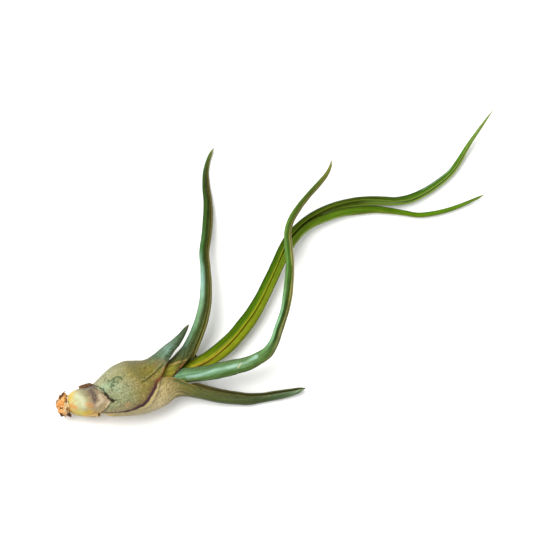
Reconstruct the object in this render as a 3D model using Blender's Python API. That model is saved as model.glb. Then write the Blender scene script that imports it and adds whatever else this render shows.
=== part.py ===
"""A small air plant, lying on a surface: a torn stem end, one dry old sheath, and six leaves.

Each leaf is one solid: a swollen sheath that wraps the younger leaves, drawn out into a narrow blade
rolled into a channel. The sheaths together make the plant's false bulb. Sizes are in millimetres.
"""

import bmesh
import bpy
import numpy as np

MM = 0.001

# The plant's false bulb points to -X and its longest leaf to +X, with the leaves fanned out in XY.
FOOT_WALL = 0.6        # where a sheath meets the stem
LEAF_WALL = 0.8        # along the middle of sheath and blade
SHEATH_WALL = 0.6      # the dry old sheath
MARGIN_SHARE = 0.75    # a leaf's margin is this much of its wall
FOOT_LENGTH = 14.0     # the wall grows from the foot's to the leaf's over this length
SOLID_SHARE = 0.72     # a blade too narrow for its wall is filled to this share of its radius
REST_LEVEL = 0.45      # height in the stations below of the surface that the plant lies on
RINGS_A_STATION = 1.5

# Stations from foot to tip: centre x, y, z, outer radius, and the turns in degrees, from the left
# of the route over its top, where the rolled leaf starts and ends.

# The dry old sheath round the bulb's foot, torn off short.
OLD_SHEATH = (
    (-78.3, -53.7, 7.70, 3.19, 168, -178),
    (-76.8, -53.4, 7.90, 4.33, 168, -178),
    (-74.5, -53.1, 8.20, 5.24, 168, -178),
    (-71.4, -52.7, 8.80, 5.89, 168, -178),
    (-68.8, -52.2, 9.40, 6.46, 168, -178),
    (-66.5, -51.5, 9.90, 7.95, 168, -178),
    (-64.2, -50.7, 10.30, 9.42, 168, -178),
    (-61.9, -49.9, 10.60, 10.18, 168, -178),
    (-60.0, -49.5, 10.85, 11.10, 168, -178),
)
# The outermost leaf: the broadest sheath and a short straight blade.
LEAF_SHORT = (
    (-74.9, -53.4, 8.00, 3.04, 150, -150),
    (-71.8, -52.8, 8.60, 4.18, 150, -150),
    (-68.8, -52.2, 9.30, 5.32, 150, -150),
    (-66.5, -51.7, 9.90, 6.80, 146, -134),
    (-63.8, -50.8, 10.40, 8.40, 143, -114),
    (-60.4, -49.6, 11.00, 9.95, 141, -118),
    (-55.1, -48.2, 11.30, 11.15, 135, -118),
    (-50.5, -46.9, 11.60, 11.60, 130, -100),
    (-47.1, -44.7, 12.10, 10.20, 119, -60),
    (-44.4, -40.7, 12.90, 6.90, 110, -45),
    (-42.4, -36.9, 13.20, 4.45, 114, -50),
    (-40.3, -33.4, 13.80, 2.85, 134, -100),
    (-37.7, -30.3, 14.60, 1.90, 150, -160),
    (-35.3, -27.2, 15.30, 1.29, 160, -160),
    (-33.4, -24.3, 15.90, 0.65, 155, -155),
    (-32.6, -23.2, 16.20, 0.30, 150, -150),
)
# The second leaf wraps the bulb's other side, and its blade lies down on the surface.
LEAF_LOW = (
    (-73.3, -53.1, 8.30, 2.70, 45, 315),
    (-70.3, -52.5, 8.90, 3.57, 45, 315),
    (-67.3, -52.1, 9.60, 5.05, 48, 312),
    (-63.8, -51.4, 10.30, 6.90, 52, 304),
    (-59.7, -50.1, 10.80, 8.15, 55, 300),
    (-54.7, -49.0, 10.90, 9.16, 58, 298),
    (-49.8, -47.9, 10.90, 9.20, 61, 295),
    (-45.2, -47.1, 10.40, 8.50, 63, 288),
    (-41.0, -46.7, 10.20, 7.05, 58, 270),
    (-37.2, -46.7, 10.40, 4.42, 48, 248),
    (-33.3, -47.5, 10.10, 3.25, 52, 285),
    (-28.5, -48.7, 7.90, 2.90, 60, 372),
    (-22.4, -50.2, 5.70, 2.77, 66, 385),
    (-16.3, -51.2, 3.70, 2.58, 66, 385),
    (-10.3, -51.7, 2.60, 2.32, 66, 385),
    (-4.2, -51.1, 2.15, 1.86, 66, 385),
    (1.9, -50.0, 2.40, 1.75, 66, 385),
    (6.5, -49.1, 3.00, 1.41, 66, 385),
    (9.5, -48.2, 3.70, 0.95, 66, 380),
    (11.6, -47.5, 4.20, 0.34, 60, 370),
)
# The third leaf rises from the neck and bends down to the surface at its tip.
LEAF_UPRIGHT = (
    (-70.3, -52.5, 8.90, 2.36, 130, -200),
    (-67.3, -51.6, 9.50, 3.27, 130, -200),
    (-63.8, -50.6, 10.00, 4.48, 130, -190),
    (-59.7, -49.5, 10.40, 5.40, 130, -170),
    (-54.3, -48.1, 10.50, 5.85, 130, -150),
    (-49.0, -46.4, 10.20, 5.70, 130, -130),
    (-44.5, -44.2, 10.00, 5.17, 130, -110),
    (-40.7, -41.6, 9.90, 4.40, 126, -95),
    (-36.7, -38.2, 10.55, 3.40, 125, -94),
    (-34.8, -36.0, 10.95, 3.27, 125, -130),
    (-33.0, -33.6, 11.50, 3.08, 124, -196),
    (-30.6, -28.8, 12.00, 2.77, 121, -218),
    (-28.2, -22.5, 12.60, 2.66, 120, -220),
    (-26.6, -15.6, 12.50, 2.43, 120, -220),
    (-26.2, -8.7, 12.00, 2.24, 120, -220),
    (-26.5, -1.9, 11.00, 1.98, 120, -220),
    (-26.9, 4.2, 9.60, 1.94, 120, -220),
    (-26.2, 9.9, 7.80, 1.98, 120, -220),
    (-25.6, 16.3, 5.60, 1.94, 120, -220),
    (-25.6, 22.8, 3.60, 1.73, 120, -220),
    (-26.3, 29.3, 2.00, 1.44, 120, -218),
    (-26.4, 34.6, 1.30, 1.14, 120, -214),
    (-25.5, 39.1, 1.60, 0.84, 120, -205),
    (-24.1, 42.6, 2.30, 0.46, 120, -190),
    (-23.3, 43.9, 2.80, 0.30, 120, -180),
)
# The fourth leaf runs out of the neck, turns sharply and turns again near its tip.
LEAF_KINKED = (
    (-68.0, -51.8, 9.40, 1.98, 185, -120),
    (-65.0, -50.9, 9.90, 2.85, 185, -110),
    (-61.2, -49.9, 10.20, 3.50, 188, -90),
    (-56.6, -48.6, 10.20, 3.80, 190, -60),
    (-52.1, -47.3, 10.00, 3.95, 190, -40),
    (-47.5, -45.9, 9.80, 3.80, 190, -25),
    (-42.9, -44.5, 9.40, 3.34, 190, -5),
    (-38.8, -43.3, 9.50, 3.08, 190, 20),
    (-34.2, -42.4, 10.90, 2.93, 188, 24),
    (-28.5, -42.0, 12.90, 2.89, 184, 6),
    (-22.4, -41.0, 14.50, 3.00, 179, -34),
    (-16.3, -39.6, 15.60, 3.00, 175, -90),
    (-10.6, -38.2, 16.50, 2.74, 170, -135),
    (-6.1, -36.1, 17.40, 2.51, 162, -160),
    (-2.7, -33.7, 18.00, 2.28, 155, -170),
    (-0.6, -30.4, 18.50, 1.90, 148, -177),
    (1.7, -23.9, 19.20, 1.79, 140, -195),
    (3.7, -17.9, 19.70, 1.69, 136, -201),
    (4.8, -11.8, 20.00, 1.86, 135, -203),
    (5.4, -5.7, 20.10, 1.75, 135, -203),
    (5.6, 0.4, 20.00, 1.60, 135, -203),
    (5.1, 6.5, 19.80, 1.52, 135, -203),
    (4.8, 11.8, 19.50, 1.37, 135, -202),
    (5.8, 15.6, 19.20, 1.33, 135, -202),
    (8.7, 20.7, 18.60, 1.25, 135, -200),
    (12.9, 26.0, 18.00, 1.10, 135, -198),
    (17.2, 30.8, 17.40, 1.03, 135, -196),
    (19.7, 34.0, 17.00, 0.80, 135, -190),
    (21.1, 37.2, 16.70, 0.49, 135, -190),
    (21.3, 39.1, 16.60, 0.30, 135, -180),
)
# The fifth leaf is the longest, an open channel for half its length.
LEAF_LONG = (
    (-65.7, -51.1, 9.80, 1.67, 108, -118),
    (-61.9, -50.0, 10.20, 2.13, 108, -118),
    (-55.1, -48.1, 10.10, 2.51, 108, -118),
    (-48.3, -46.1, 9.70, 2.36, 108, -118),
    (-42.2, -44.1, 8.90, 2.01, 108, -118),
    (-36.9, -42.0, 8.60, 2.17, 108, -118),
    (-31.5, -39.4, 8.00, 2.58, 108, -118),
    (-25.5, -36.3, 7.80, 2.77, 108, -118),
    (-19.9, -31.9, 7.70, 2.74, 108, -118),
    (-16.6, -28.7, 7.80, 2.58, 108, -118),
    (-11.4, -22.3, 8.10, 2.43, 108, -118),
    (-9.1, -19.2, 8.20, 2.36, 108, -118),
    (-5.3, -12.8, 8.40, 2.24, 106, -112),
    (-2.3, -6.7, 8.40, 2.20, 104, -110),
    (0.6, -0.5, 8.30, 2.13, 100, -110),
    (3.3, 5.5, 8.20, 2.13, 95, -112),
    (6.3, 10.4, 8.00, 2.13, 90, -110),
    (9.5, 13.7, 7.80, 2.09, 86, -110),
    (12.3, 16.0, 7.60, 2.05, 82, -105),
    (17.9, 19.3, 7.20, 2.01, 78, -107),
    (23.8, 21.6, 6.80, 1.94, 75, -120),
    (29.5, 23.0, 6.30, 1.86, 76, -156),
    (35.4, 23.7, 5.80, 1.79, 80, -200),
    (41.4, 23.7, 5.30, 1.71, 90, -215),
    (46.0, 23.6, 4.80, 1.63, 100, -215),
    (50.8, 24.4, 4.20, 1.71, 110, -205),
    (56.6, 26.9, 3.60, 1.60, 110, -205),
    (62.7, 30.9, 3.10, 1.43, 110, -205),
    (67.3, 35.0, 3.00, 1.25, 110, -205),
    (70.3, 39.3, 3.30, 1.14, 110, -205),
    (72.4, 42.9, 4.00, 0.95, 110, -205),
    (74.3, 46.0, 4.60, 0.80, 110, -205),
    (78.5, 52.1, 6.20, 0.57, 110, -205),
    (80.6, 55.1, 7.00, 0.47, 110, -205),
    (83.0, 58.4, 7.80, 0.30, 110, -190),
)
# The youngest leaf lies in the channel of the longest one and leaves it near its end.
LEAF_INNER = (
    (-63.5, -50.5, 10.00, 1.10, 135, -165),
    (-58.9, -49.2, 10.20, 1.18, 135, -165),
    (-53.6, -47.7, 10.00, 1.29, 135, -165),
    (-48.3, -46.2, 9.70, 1.22, 135, -165),
    (-42.2, -44.3, 9.00, 1.06, 135, -165),
    (-36.5, -42.3, 8.60, 1.10, 135, -165),
    (-30.8, -39.8, 8.00, 1.33, 150, -165),
    (-24.5, -37.4, 7.80, 1.60, 170, -158),
    (-18.3, -33.2, 7.70, 1.67, 180, -152),
    (-12.9, -27.6, 7.90, 1.60, 180, -150),
    (-8.1, -21.3, 8.10, 1.52, 180, -150),
    (-4.1, -14.2, 8.40, 1.40, 180, -150),
    (-1.1, -7.9, 8.40, 1.40, 180, -150),
    (1.7, -1.7, 8.30, 1.40, 180, -150),
    (4.4, 3.8, 8.20, 1.42, 180, -150),
    (7.8, 9.4, 7.90, 1.44, 180, -150),
    (13.0, 14.3, 7.30, 1.52, 175, -152),
    (19.4, 17.3, 5.45, 1.62, 165, -155),
    (25.7, 19.2, 4.30, 1.70, 150, -160),
    (32.0, 20.05, 3.75, 1.64, 135, -168),
    (37.6, 20.45, 3.75, 1.50, 130, -170),
    (43.7, 19.9, 3.90, 1.25, 130, -170),
    (49.0, 19.1, 3.80, 1.06, 130, -170),
    (54.3, 18.3, 3.50, 0.99, 130, -170),
    (59.7, 18.8, 3.20, 0.97, 130, -170),
    (65.0, 20.0, 3.00, 0.91, 130, -170),
    (70.3, 21.8, 2.90, 0.82, 130, -170),
    (74.9, 23.8, 3.10, 0.63, 130, -170),
    (77.9, 25.2, 3.40, 0.49, 130, -170),
    (79.6, 26.1, 3.60, 0.30, 130, -170),
)
# How far along its route the old sheath reaches, from one margin round to the other.
TORN_TURNS = (-1.0, -0.78, -0.67, -0.58, -0.45, -0.33, -0.2, 0.0, 0.2, 0.6, 1.0)
TORN_REACH = (0.52, 0.57, 0.78, 0.97, 0.80, 0.66, 0.54, 0.50, 0.52, 0.54, 0.52)

# The stem: a torn end outside the old sheath, then a taper that carries the feet of the leaves.
# Centre x, y, z, radius, and how ragged it is.
STEM = (
    (-83.2, -53.0, 7.6, 0.40, 0.0),
    (-82.9, -53.2, 7.6, 1.90, 0.5),
    (-82.0, -53.5, 7.6, 3.30, 0.8),
    (-81.2, -53.7, 7.7, 4.20, 1.0),
    (-80.2, -53.8, 7.7, 4.65, 1.0),
    (-79.6, -53.8, 7.7, 3.60, 0.4),
    (-79.3, -53.7, 7.7, 2.30, 0.0),
    (-77.6, -53.6, 7.8, 2.10, 0.0),
    (-75.0, -53.4, 8.0, 2.02, 0.0),
    (-73.3, -53.1, 8.3, 1.75, 0.0),
    (-70.3, -52.5, 8.9, 1.30, 0.0),
    (-68.0, -51.8, 9.4, 1.05, 0.0),
    (-65.7, -51.1, 9.8, 0.75, 0.0),
    (-64.4, -50.8, 9.95, 0.30, 0.0),
)
# The torn end's tatters, for each side of the stem: a factor on its radius, and a reach along it.
TATTERS = (1.02, 0.86, 1.08, 0.92, 0.84, 0.98, 0.94, 1.03, 0.90, 1.04, 0.94, 0.86, 1.08, 0.88)
SPLAY = (0.3, -0.3, 0.2, -0.2, 0.2, -0.1, 0.5, 0.9, 0.2, -0.3, 0.2, -0.2, 0.3, -0.1)

# Quads across each leaf, from margin to margin.
ACROSS = {
    "old_sheath": 18,
    "leaf_short": 16,
    "leaf_low": 14,
    "leaf_upright": 10,
    "leaf_kinked": 10,
    "leaf_long": 10,
    "leaf_inner": 8,
}

# Base colours, as linear values.
COLOURS = {
    "stem": (0.45, 0.20, 0.06),
    "old_sheath": (0.62, 0.55, 0.28),
    "leaf_short": (0.32, 0.40, 0.26),
    "leaf_low": (0.40, 0.37, 0.20),
    "leaf_upright": (0.22, 0.36, 0.24),
    "leaf_kinked": (0.16, 0.38, 0.22),
    "leaf_long": (0.38, 0.50, 0.10),
    "leaf_inner": (0.22, 0.42, 0.14),
}


def smooth_rows(stations, count):
    """Stations joined by a cubic curve, read at even steps of their number."""
    rows = np.array(stations, float)
    spans = np.linalg.norm(np.diff(rows[:, :3], axis=0), axis=1)
    knots = np.concatenate([[0.0], np.cumsum(spans)])
    slopes = np.gradient(rows, knots, axis=0)
    last = len(rows) - 1
    result = []
    for place in np.linspace(0.0, last, count):
        i = min(int(place), last - 1)
        t = place - i
        span = spans[i]
        result.append(
            (1 + 2 * t) * (1 - t) ** 2 * rows[i]
            + t * (1 - t) ** 2 * span * slopes[i]
            + t * t * (3 - 2 * t) * rows[i + 1]
            + t * t * (t - 1) * span * slopes[i + 1]
        )
    return np.array(result)


def lengths_along(centres):
    steps = np.linalg.norm(np.diff(centres, axis=0), axis=1)
    return np.concatenate([[0.0], np.cumsum(steps)])


def section_axes(centres, radii):
    """Left and up at each ring, square to the route as it runs over one radius either way."""
    along = lengths_along(centres)
    reach = np.maximum(radii, 0.5)

    def at(distance):
        return np.stack([np.interp(distance, along, centres[:, k]) for k in range(3)], axis=1)

    ahead = at(np.minimum(along + reach, along[-1])) - at(np.maximum(along - reach, 0.0))
    ahead /= np.linalg.norm(ahead, axis=1)[:, None]
    left = np.cross([0.0, 0.0, 1.0], ahead)
    left /= np.linalg.norm(left, axis=1)[:, None]
    return left, np.cross(ahead, left)


def leaf_skins(stations, across, wall_size):
    """The outer and the inner skin of a rolled leaf, as grids of points from foot to tip."""
    rows = smooth_rows(stations, round(RINGS_A_STATION * (len(stations) - 1)) + 1)
    centres, radii = rows[:, :3], rows[:, 3]
    left, up = section_axes(centres, radii)
    side = np.linspace(-1.0, 1.0, across + 1)
    starts, ends = np.radians(rows[:, 4]), np.radians(rows[:, 5])
    turns = starts[:, None] + (ends - starts)[:, None] * (side[None, :] + 1) / 2
    wall = np.interp(lengths_along(centres), [0.0, FOOT_LENGTH], [FOOT_WALL, wall_size])
    wall = wall[:, None] * (1 - (1 - MARGIN_SHARE) * side[None, :] ** 2)
    wall = np.minimum(wall, SOLID_SHARE * radii[:, None])
    out = np.cos(turns)[..., None] * left[:, None] + np.sin(turns)[..., None] * up[:, None]
    outer = centres[:, None] + radii[:, None, None] * out
    inner = centres[:, None] + (radii[:, None] - wall)[..., None] * out
    return outer, inner


def tear_off(skin, turns, reach):
    """The skin cut short: each line of points ends at its own share of the route."""
    rings, lines = skin.shape[:2]
    shares = np.interp(np.linspace(-1.0, 1.0, lines), turns, reach)
    torn = np.empty_like(skin)
    for line in range(lines):
        places = np.linspace(0.0, shares[line] * (rings - 1), rings)
        for k in range(3):
            torn[:, line, k] = np.interp(places, np.arange(rings), skin[:, line, k])
    return torn


def stem_rings(stations, sides):
    """Round sections along the stem, ragged where it is torn."""
    rows = np.array(stations, float)
    left, up = section_axes(rows[:, :3], rows[:, 3])
    turns = np.linspace(0.0, 2 * np.pi, sides, endpoint=False)
    factors = 1 + rows[:, 4][:, None] * (np.array(TATTERS)[None, :] - 1)
    out = np.cos(turns)[None, :, None] * left[:, None] + np.sin(turns)[None, :, None] * up[:, None]
    rings = rows[:, None, :3] + (rows[:, 3][:, None] * factors)[..., None] * out
    rings[..., 0] += rows[:, 4][:, None] * np.array(SPLAY)[None, :]
    return rings


def new_piece(name, bm, collection):
    bmesh.ops.recalc_face_normals(bm, faces=bm.faces[:])
    if bm.calc_volume(signed=True) < 0:
        bmesh.ops.reverse_faces(bm, faces=bm.faces[:])
    for face in bm.faces:
        face.smooth = True
    mesh = bpy.data.meshes.new(name)
    bm.to_mesh(mesh)
    bm.free()
    material = bpy.data.materials.new(name)
    material.use_nodes = True
    surface = material.node_tree.nodes["Principled BSDF"]
    surface.inputs["Base Color"].default_value = (*COLOURS[name], 1.0)
    surface.inputs["Roughness"].default_value = 0.6
    mesh.materials.append(material)
    piece = bpy.data.objects.new(name, mesh)
    collection.objects.link(piece)
    return piece


def leaf_piece(name, skins, shift, collection):
    """A sheet of quads with thickness: one face of the sheet on the outer skin, one on the inner."""
    outer, inner = skins
    rings, lines = outer.shape[:2]
    bm = bmesh.new()
    bmesh.ops.create_grid(bm, x_segments=lines - 1, y_segments=rings - 1, size=1.0)
    spots = {}
    for vert in bm.verts:
        line = round((vert.co.x + 1) / 2 * (lines - 1))
        ring = round((vert.co.y + 1) / 2 * (rings - 1))
        spots[vert] = (ring, line)
    kept = list(bm.verts)
    raised = bmesh.ops.extrude_face_region(bm, geom=bm.faces[:], use_keep_orig=True)
    for vert in raised["geom"]:
        if isinstance(vert, bmesh.types.BMVert):
            line = round((vert.co.x + 1) / 2 * (lines - 1))
            ring = round((vert.co.y + 1) / 2 * (rings - 1))
            vert.co = (inner[ring, line] - shift) * MM
    for vert in kept:
        vert.co = (outer[spots[vert]] - shift) * MM
    return new_piece(name, bm, collection)


def stem_piece(rings, shift, collection):
    """A sphere's grid drawn out along the stem, with its poles at the stem's two ends."""
    count, sides = rings.shape[:2]
    bm = bmesh.new()
    bmesh.ops.create_uvsphere(bm, u_segments=sides, v_segments=count - 1, radius=1.0)
    for vert in bm.verts:
        ring = round(np.arccos(np.clip(vert.co.z, -1.0, 1.0)) / np.pi * (count - 1))
        if ring in (0, count - 1):
            spot = rings[ring].mean(axis=0)
        else:
            turn = np.arctan2(vert.co.y, vert.co.x) % (2 * np.pi)
            spot = rings[ring, round(turn / (2 * np.pi) * sides) % sides]
        vert.co = (spot - shift) * MM
    return new_piece("stem", bm, collection)


def build():
    for stale in list(bpy.data.objects):
        bpy.data.objects.remove(stale, do_unlink=True)
    collection = bpy.data.collections.new("tillandsia_bulbosa")
    bpy.context.scene.collection.children.link(collection)

    routes = {
        "leaf_short": LEAF_SHORT,
        "leaf_low": LEAF_LOW,
        "leaf_upright": LEAF_UPRIGHT,
        "leaf_kinked": LEAF_KINKED,
        "leaf_long": LEAF_LONG,
        "leaf_inner": LEAF_INNER,
    }
    skins = {
        name: leaf_skins(stations, ACROSS[name], LEAF_WALL) for name, stations in routes.items()
    }
    sheath = leaf_skins(OLD_SHEATH, ACROSS["old_sheath"], SHEATH_WALL)
    skins["old_sheath"] = tuple(tear_off(skin, TORN_TURNS, TORN_REACH) for skin in sheath)
    stem = stem_rings(STEM, len(TATTERS))

    # These three are pressed flat where they touch the surface.
    for name in ("leaf_short", "leaf_low", "leaf_upright"):
        outer, inner = skins[name]
        outer[..., 2] = np.maximum(outer[..., 2], REST_LEVEL)
        inner[..., 2] = np.maximum(inner[..., 2], REST_LEVEL + FOOT_WALL)

    points = np.concatenate([skin.reshape(-1, 3) for pair in skins.values() for skin in pair])
    points = np.concatenate([points, stem.reshape(-1, 3)])
    low, high = points.min(axis=0), points.max(axis=0)
    shift = np.array([(low[0] + high[0]) / 2, (low[1] + high[1]) / 2, low[2]])

    for name, pair in skins.items():
        leaf_piece(name, pair, shift, collection)
    stem_piece(stem, shift, collection)


build()
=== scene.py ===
"""The looks of a small air plant that lies on a pale surface as it was picked.

The torn stem end is at -X and the longest leaf ends at +X. Each leaf is one sheet of tissue rolled into
a channel, and the swollen sheaths wrap each other to make the false bulb. Routes are in millimetres.
"""

import bmesh
import bpy
import numpy as np
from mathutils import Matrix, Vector


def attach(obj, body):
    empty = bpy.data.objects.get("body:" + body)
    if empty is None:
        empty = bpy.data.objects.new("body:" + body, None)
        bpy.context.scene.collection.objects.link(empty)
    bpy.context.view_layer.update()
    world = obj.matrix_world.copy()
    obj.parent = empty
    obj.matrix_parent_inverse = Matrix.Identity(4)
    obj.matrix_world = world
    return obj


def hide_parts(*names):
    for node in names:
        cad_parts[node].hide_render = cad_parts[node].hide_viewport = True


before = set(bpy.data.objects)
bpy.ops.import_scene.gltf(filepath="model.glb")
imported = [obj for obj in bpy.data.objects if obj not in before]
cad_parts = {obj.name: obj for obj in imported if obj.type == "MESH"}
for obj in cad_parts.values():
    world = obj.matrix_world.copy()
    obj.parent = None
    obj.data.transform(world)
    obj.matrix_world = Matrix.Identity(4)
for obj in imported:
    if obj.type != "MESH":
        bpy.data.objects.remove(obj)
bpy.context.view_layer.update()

MM = 0.001
ROUTE_ORIGIN = np.array([-0.079, 0.0, 0.45])   # where the model's origin lies in the routes' numbers

# The walls and the level that the plant lies on, as on the solids that these pieces stand for.
FOOT_WALL = 0.6
LEAF_WALL = 0.8
SHEATH_WALL = 0.6
FOOT_LENGTH = 14.0      # over this length a leaf's wall grows from the foot's
MARGIN_SHARE = 0.75     # the wall at a margin, as a share of the wall in the middle
SOLID_SHARE = 0.72      # the thickest wall, as a share of the radius
REST_LEVEL = 0.45

ROUND_TURNS = np.radians([30.0, 56.0, 80.0])   # steps of the round along a leaf's margin
ROUND_SHARE = 0.25      # the widest such round, as a share of half the sheet's width
SMALLEST_RADIUS = 0.05
SHORTEST_REACH = 0.5    # the least length of route that a ring's axes are taken from, either way
UNEVEN_RADIUS = 4.0     # a leaf is fully uneven from this radius up, and smoother where it is thinner
TISSUE_SPAN = 100.0     # millimetres to one unit of a leaf's UV map

# Stations from foot to tip: centre x, y, z, outer radius, and the turns in degrees, from the left
# of the route over its top, where the rolled leaf starts and ends.
OLD_SHEATH = (
    (-78.3, -53.7, 7.70, 3.19, 168, -178),
    (-76.8, -53.4, 7.90, 4.33, 168, -178),
    (-74.5, -53.1, 8.20, 5.24, 168, -178),
    (-71.4, -52.7, 8.80, 5.89, 168, -178),
    (-68.8, -52.2, 9.40, 6.46, 168, -178),
    (-66.5, -51.5, 9.90, 7.95, 168, -178),
    (-64.2, -50.7, 10.30, 9.42, 168, -178),
    (-61.9, -49.9, 10.60, 10.18, 168, -178),
    (-60.0, -49.5, 10.85, 11.10, 168, -178),
)
LEAF_SHORT = (
    (-74.9, -53.4, 8.00, 3.04, 150, -150),
    (-71.8, -52.8, 8.60, 4.18, 150, -150),
    (-68.8, -52.2, 9.30, 5.32, 150, -150),
    (-66.5, -51.7, 9.90, 6.80, 146, -134),
    (-63.8, -50.8, 10.40, 8.40, 143, -114),
    (-60.4, -49.6, 11.00, 9.95, 141, -118),
    (-55.1, -48.2, 11.30, 11.15, 135, -118),
    (-50.5, -46.9, 11.60, 11.60, 130, -100),
    (-47.1, -44.7, 12.10, 10.20, 119, -60),
    (-44.4, -40.7, 12.90, 6.90, 110, -45),
    (-42.4, -36.9, 13.20, 4.45, 114, -50),
    (-40.3, -33.4, 13.80, 2.85, 134, -100),
    (-37.7, -30.3, 14.60, 1.90, 150, -160),
    (-35.3, -27.2, 15.30, 1.29, 160, -160),
    (-33.4, -24.3, 15.90, 0.65, 155, -155),
    (-32.6, -23.2, 16.20, 0.12, 150, -150),
)
LEAF_LOW = (
    (-73.3, -53.1, 8.30, 2.70, 45, 315),
    (-70.3, -52.5, 8.90, 3.57, 45, 315),
    (-67.3, -52.1, 9.60, 5.05, 48, 312),
    (-63.8, -51.4, 10.30, 6.90, 52, 304),
    (-59.7, -50.1, 10.80, 8.15, 55, 300),
    (-54.7, -49.0, 10.90, 9.16, 58, 298),
    (-49.8, -47.9, 10.90, 9.20, 61, 295),
    (-45.2, -47.1, 10.40, 8.50, 63, 288),
    (-41.0, -46.7, 10.20, 7.05, 58, 270),
    (-37.2, -46.7, 10.40, 4.42, 48, 248),
    (-33.3, -47.5, 10.10, 3.25, 52, 285),
    (-28.5, -48.7, 7.90, 2.90, 60, 372),
    (-22.4, -50.2, 5.70, 2.77, 66, 385),
    (-16.3, -51.2, 3.70, 2.58, 66, 385),
    (-10.3, -51.7, 2.60, 2.32, 66, 385),
    (-4.2, -51.1, 2.15, 1.86, 66, 385),
    (1.9, -50.0, 2.40, 1.75, 66, 385),
    (6.5, -49.1, 3.00, 1.41, 66, 385),
    (9.5, -48.2, 3.70, 0.95, 66, 380),
    (11.6, -47.5, 4.20, 0.12, 60, 370),
)
LEAF_UPRIGHT = (
    (-70.3, -52.5, 8.90, 2.36, 130, -200),
    (-67.3, -51.6, 9.50, 3.27, 130, -200),
    (-63.8, -50.6, 10.00, 4.48, 130, -190),
    (-59.7, -49.5, 10.40, 5.40, 130, -170),
    (-54.3, -48.1, 10.50, 5.85, 130, -150),
    (-49.0, -46.4, 10.20, 5.70, 130, -130),
    (-44.5, -44.2, 10.00, 5.17, 130, -110),
    (-40.7, -41.6, 9.90, 4.40, 126, -95),
    (-36.7, -38.2, 10.55, 3.40, 125, -94),
    (-34.8, -36.0, 10.95, 3.27, 125, -130),
    (-33.0, -33.6, 11.50, 3.08, 124, -196),
    (-30.6, -28.8, 12.00, 2.77, 121, -218),
    (-28.2, -22.5, 12.60, 2.66, 120, -220),
    (-26.6, -15.6, 12.50, 2.43, 120, -220),
    (-26.2, -8.7, 12.00, 2.24, 120, -220),
    (-26.5, -1.9, 11.00, 1.98, 120, -220),
    (-26.9, 4.2, 9.60, 1.94, 120, -220),
    (-26.2, 9.9, 7.80, 1.98, 120, -220),
    (-25.6, 16.3, 5.60, 1.94, 120, -220),
    (-25.6, 22.8, 3.60, 1.73, 120, -220),
    (-26.3, 29.3, 2.00, 1.44, 120, -218),
    (-26.4, 34.6, 1.30, 1.14, 120, -214),
    (-25.5, 39.1, 1.60, 0.84, 120, -205),
    (-24.1, 42.6, 2.30, 0.46, 120, -190),
    (-23.3, 43.9, 2.80, 0.10, 120, -180),
)
LEAF_KINKED = (
    (-68.0, -51.8, 9.40, 1.98, 185, -120),
    (-65.0, -50.9, 9.90, 2.85, 185, -110),
    (-61.2, -49.9, 10.20, 3.50, 188, -90),
    (-56.6, -48.6, 10.20, 3.80, 190, -60),
    (-52.1, -47.3, 10.00, 3.95, 190, -40),
    (-47.5, -45.9, 9.80, 3.80, 190, -25),
    (-42.9, -44.5, 9.40, 3.34, 190, -5),
    (-38.8, -43.3, 9.50, 3.08, 190, 20),
    (-34.2, -42.4, 10.90, 2.93, 188, 24),
    (-28.5, -42.0, 12.90, 2.89, 184, 6),
    (-22.4, -41.0, 14.50, 3.00, 179, -34),
    (-16.3, -39.6, 15.60, 3.00, 175, -90),
    (-10.6, -38.2, 16.50, 2.74, 170, -135),
    (-6.1, -36.1, 17.40, 2.51, 162, -160),
    (-2.7, -33.7, 18.00, 2.28, 155, -170),
    (-0.6, -30.4, 18.50, 1.90, 148, -177),
    (1.7, -23.9, 19.20, 1.79, 140, -195),
    (3.7, -17.9, 19.70, 1.69, 136, -201),
    (4.8, -11.8, 20.00, 1.86, 135, -203),
    (5.4, -5.7, 20.10, 1.75, 135, -203),
    (5.6, 0.4, 20.00, 1.60, 135, -203),
    (5.1, 6.5, 19.80, 1.52, 135, -203),
    (4.8, 11.8, 19.50, 1.37, 135, -202),
    (5.8, 15.6, 19.20, 1.33, 135, -202),
    (8.7, 20.7, 18.60, 1.25, 135, -200),
    (12.9, 26.0, 18.00, 1.10, 135, -198),
    (17.2, 30.8, 17.40, 1.03, 135, -196),
    (19.7, 34.0, 17.00, 0.80, 135, -190),
    (21.1, 37.2, 16.70, 0.49, 135, -190),
    (21.3, 39.1, 16.60, 0.10, 135, -180),
)
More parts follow.
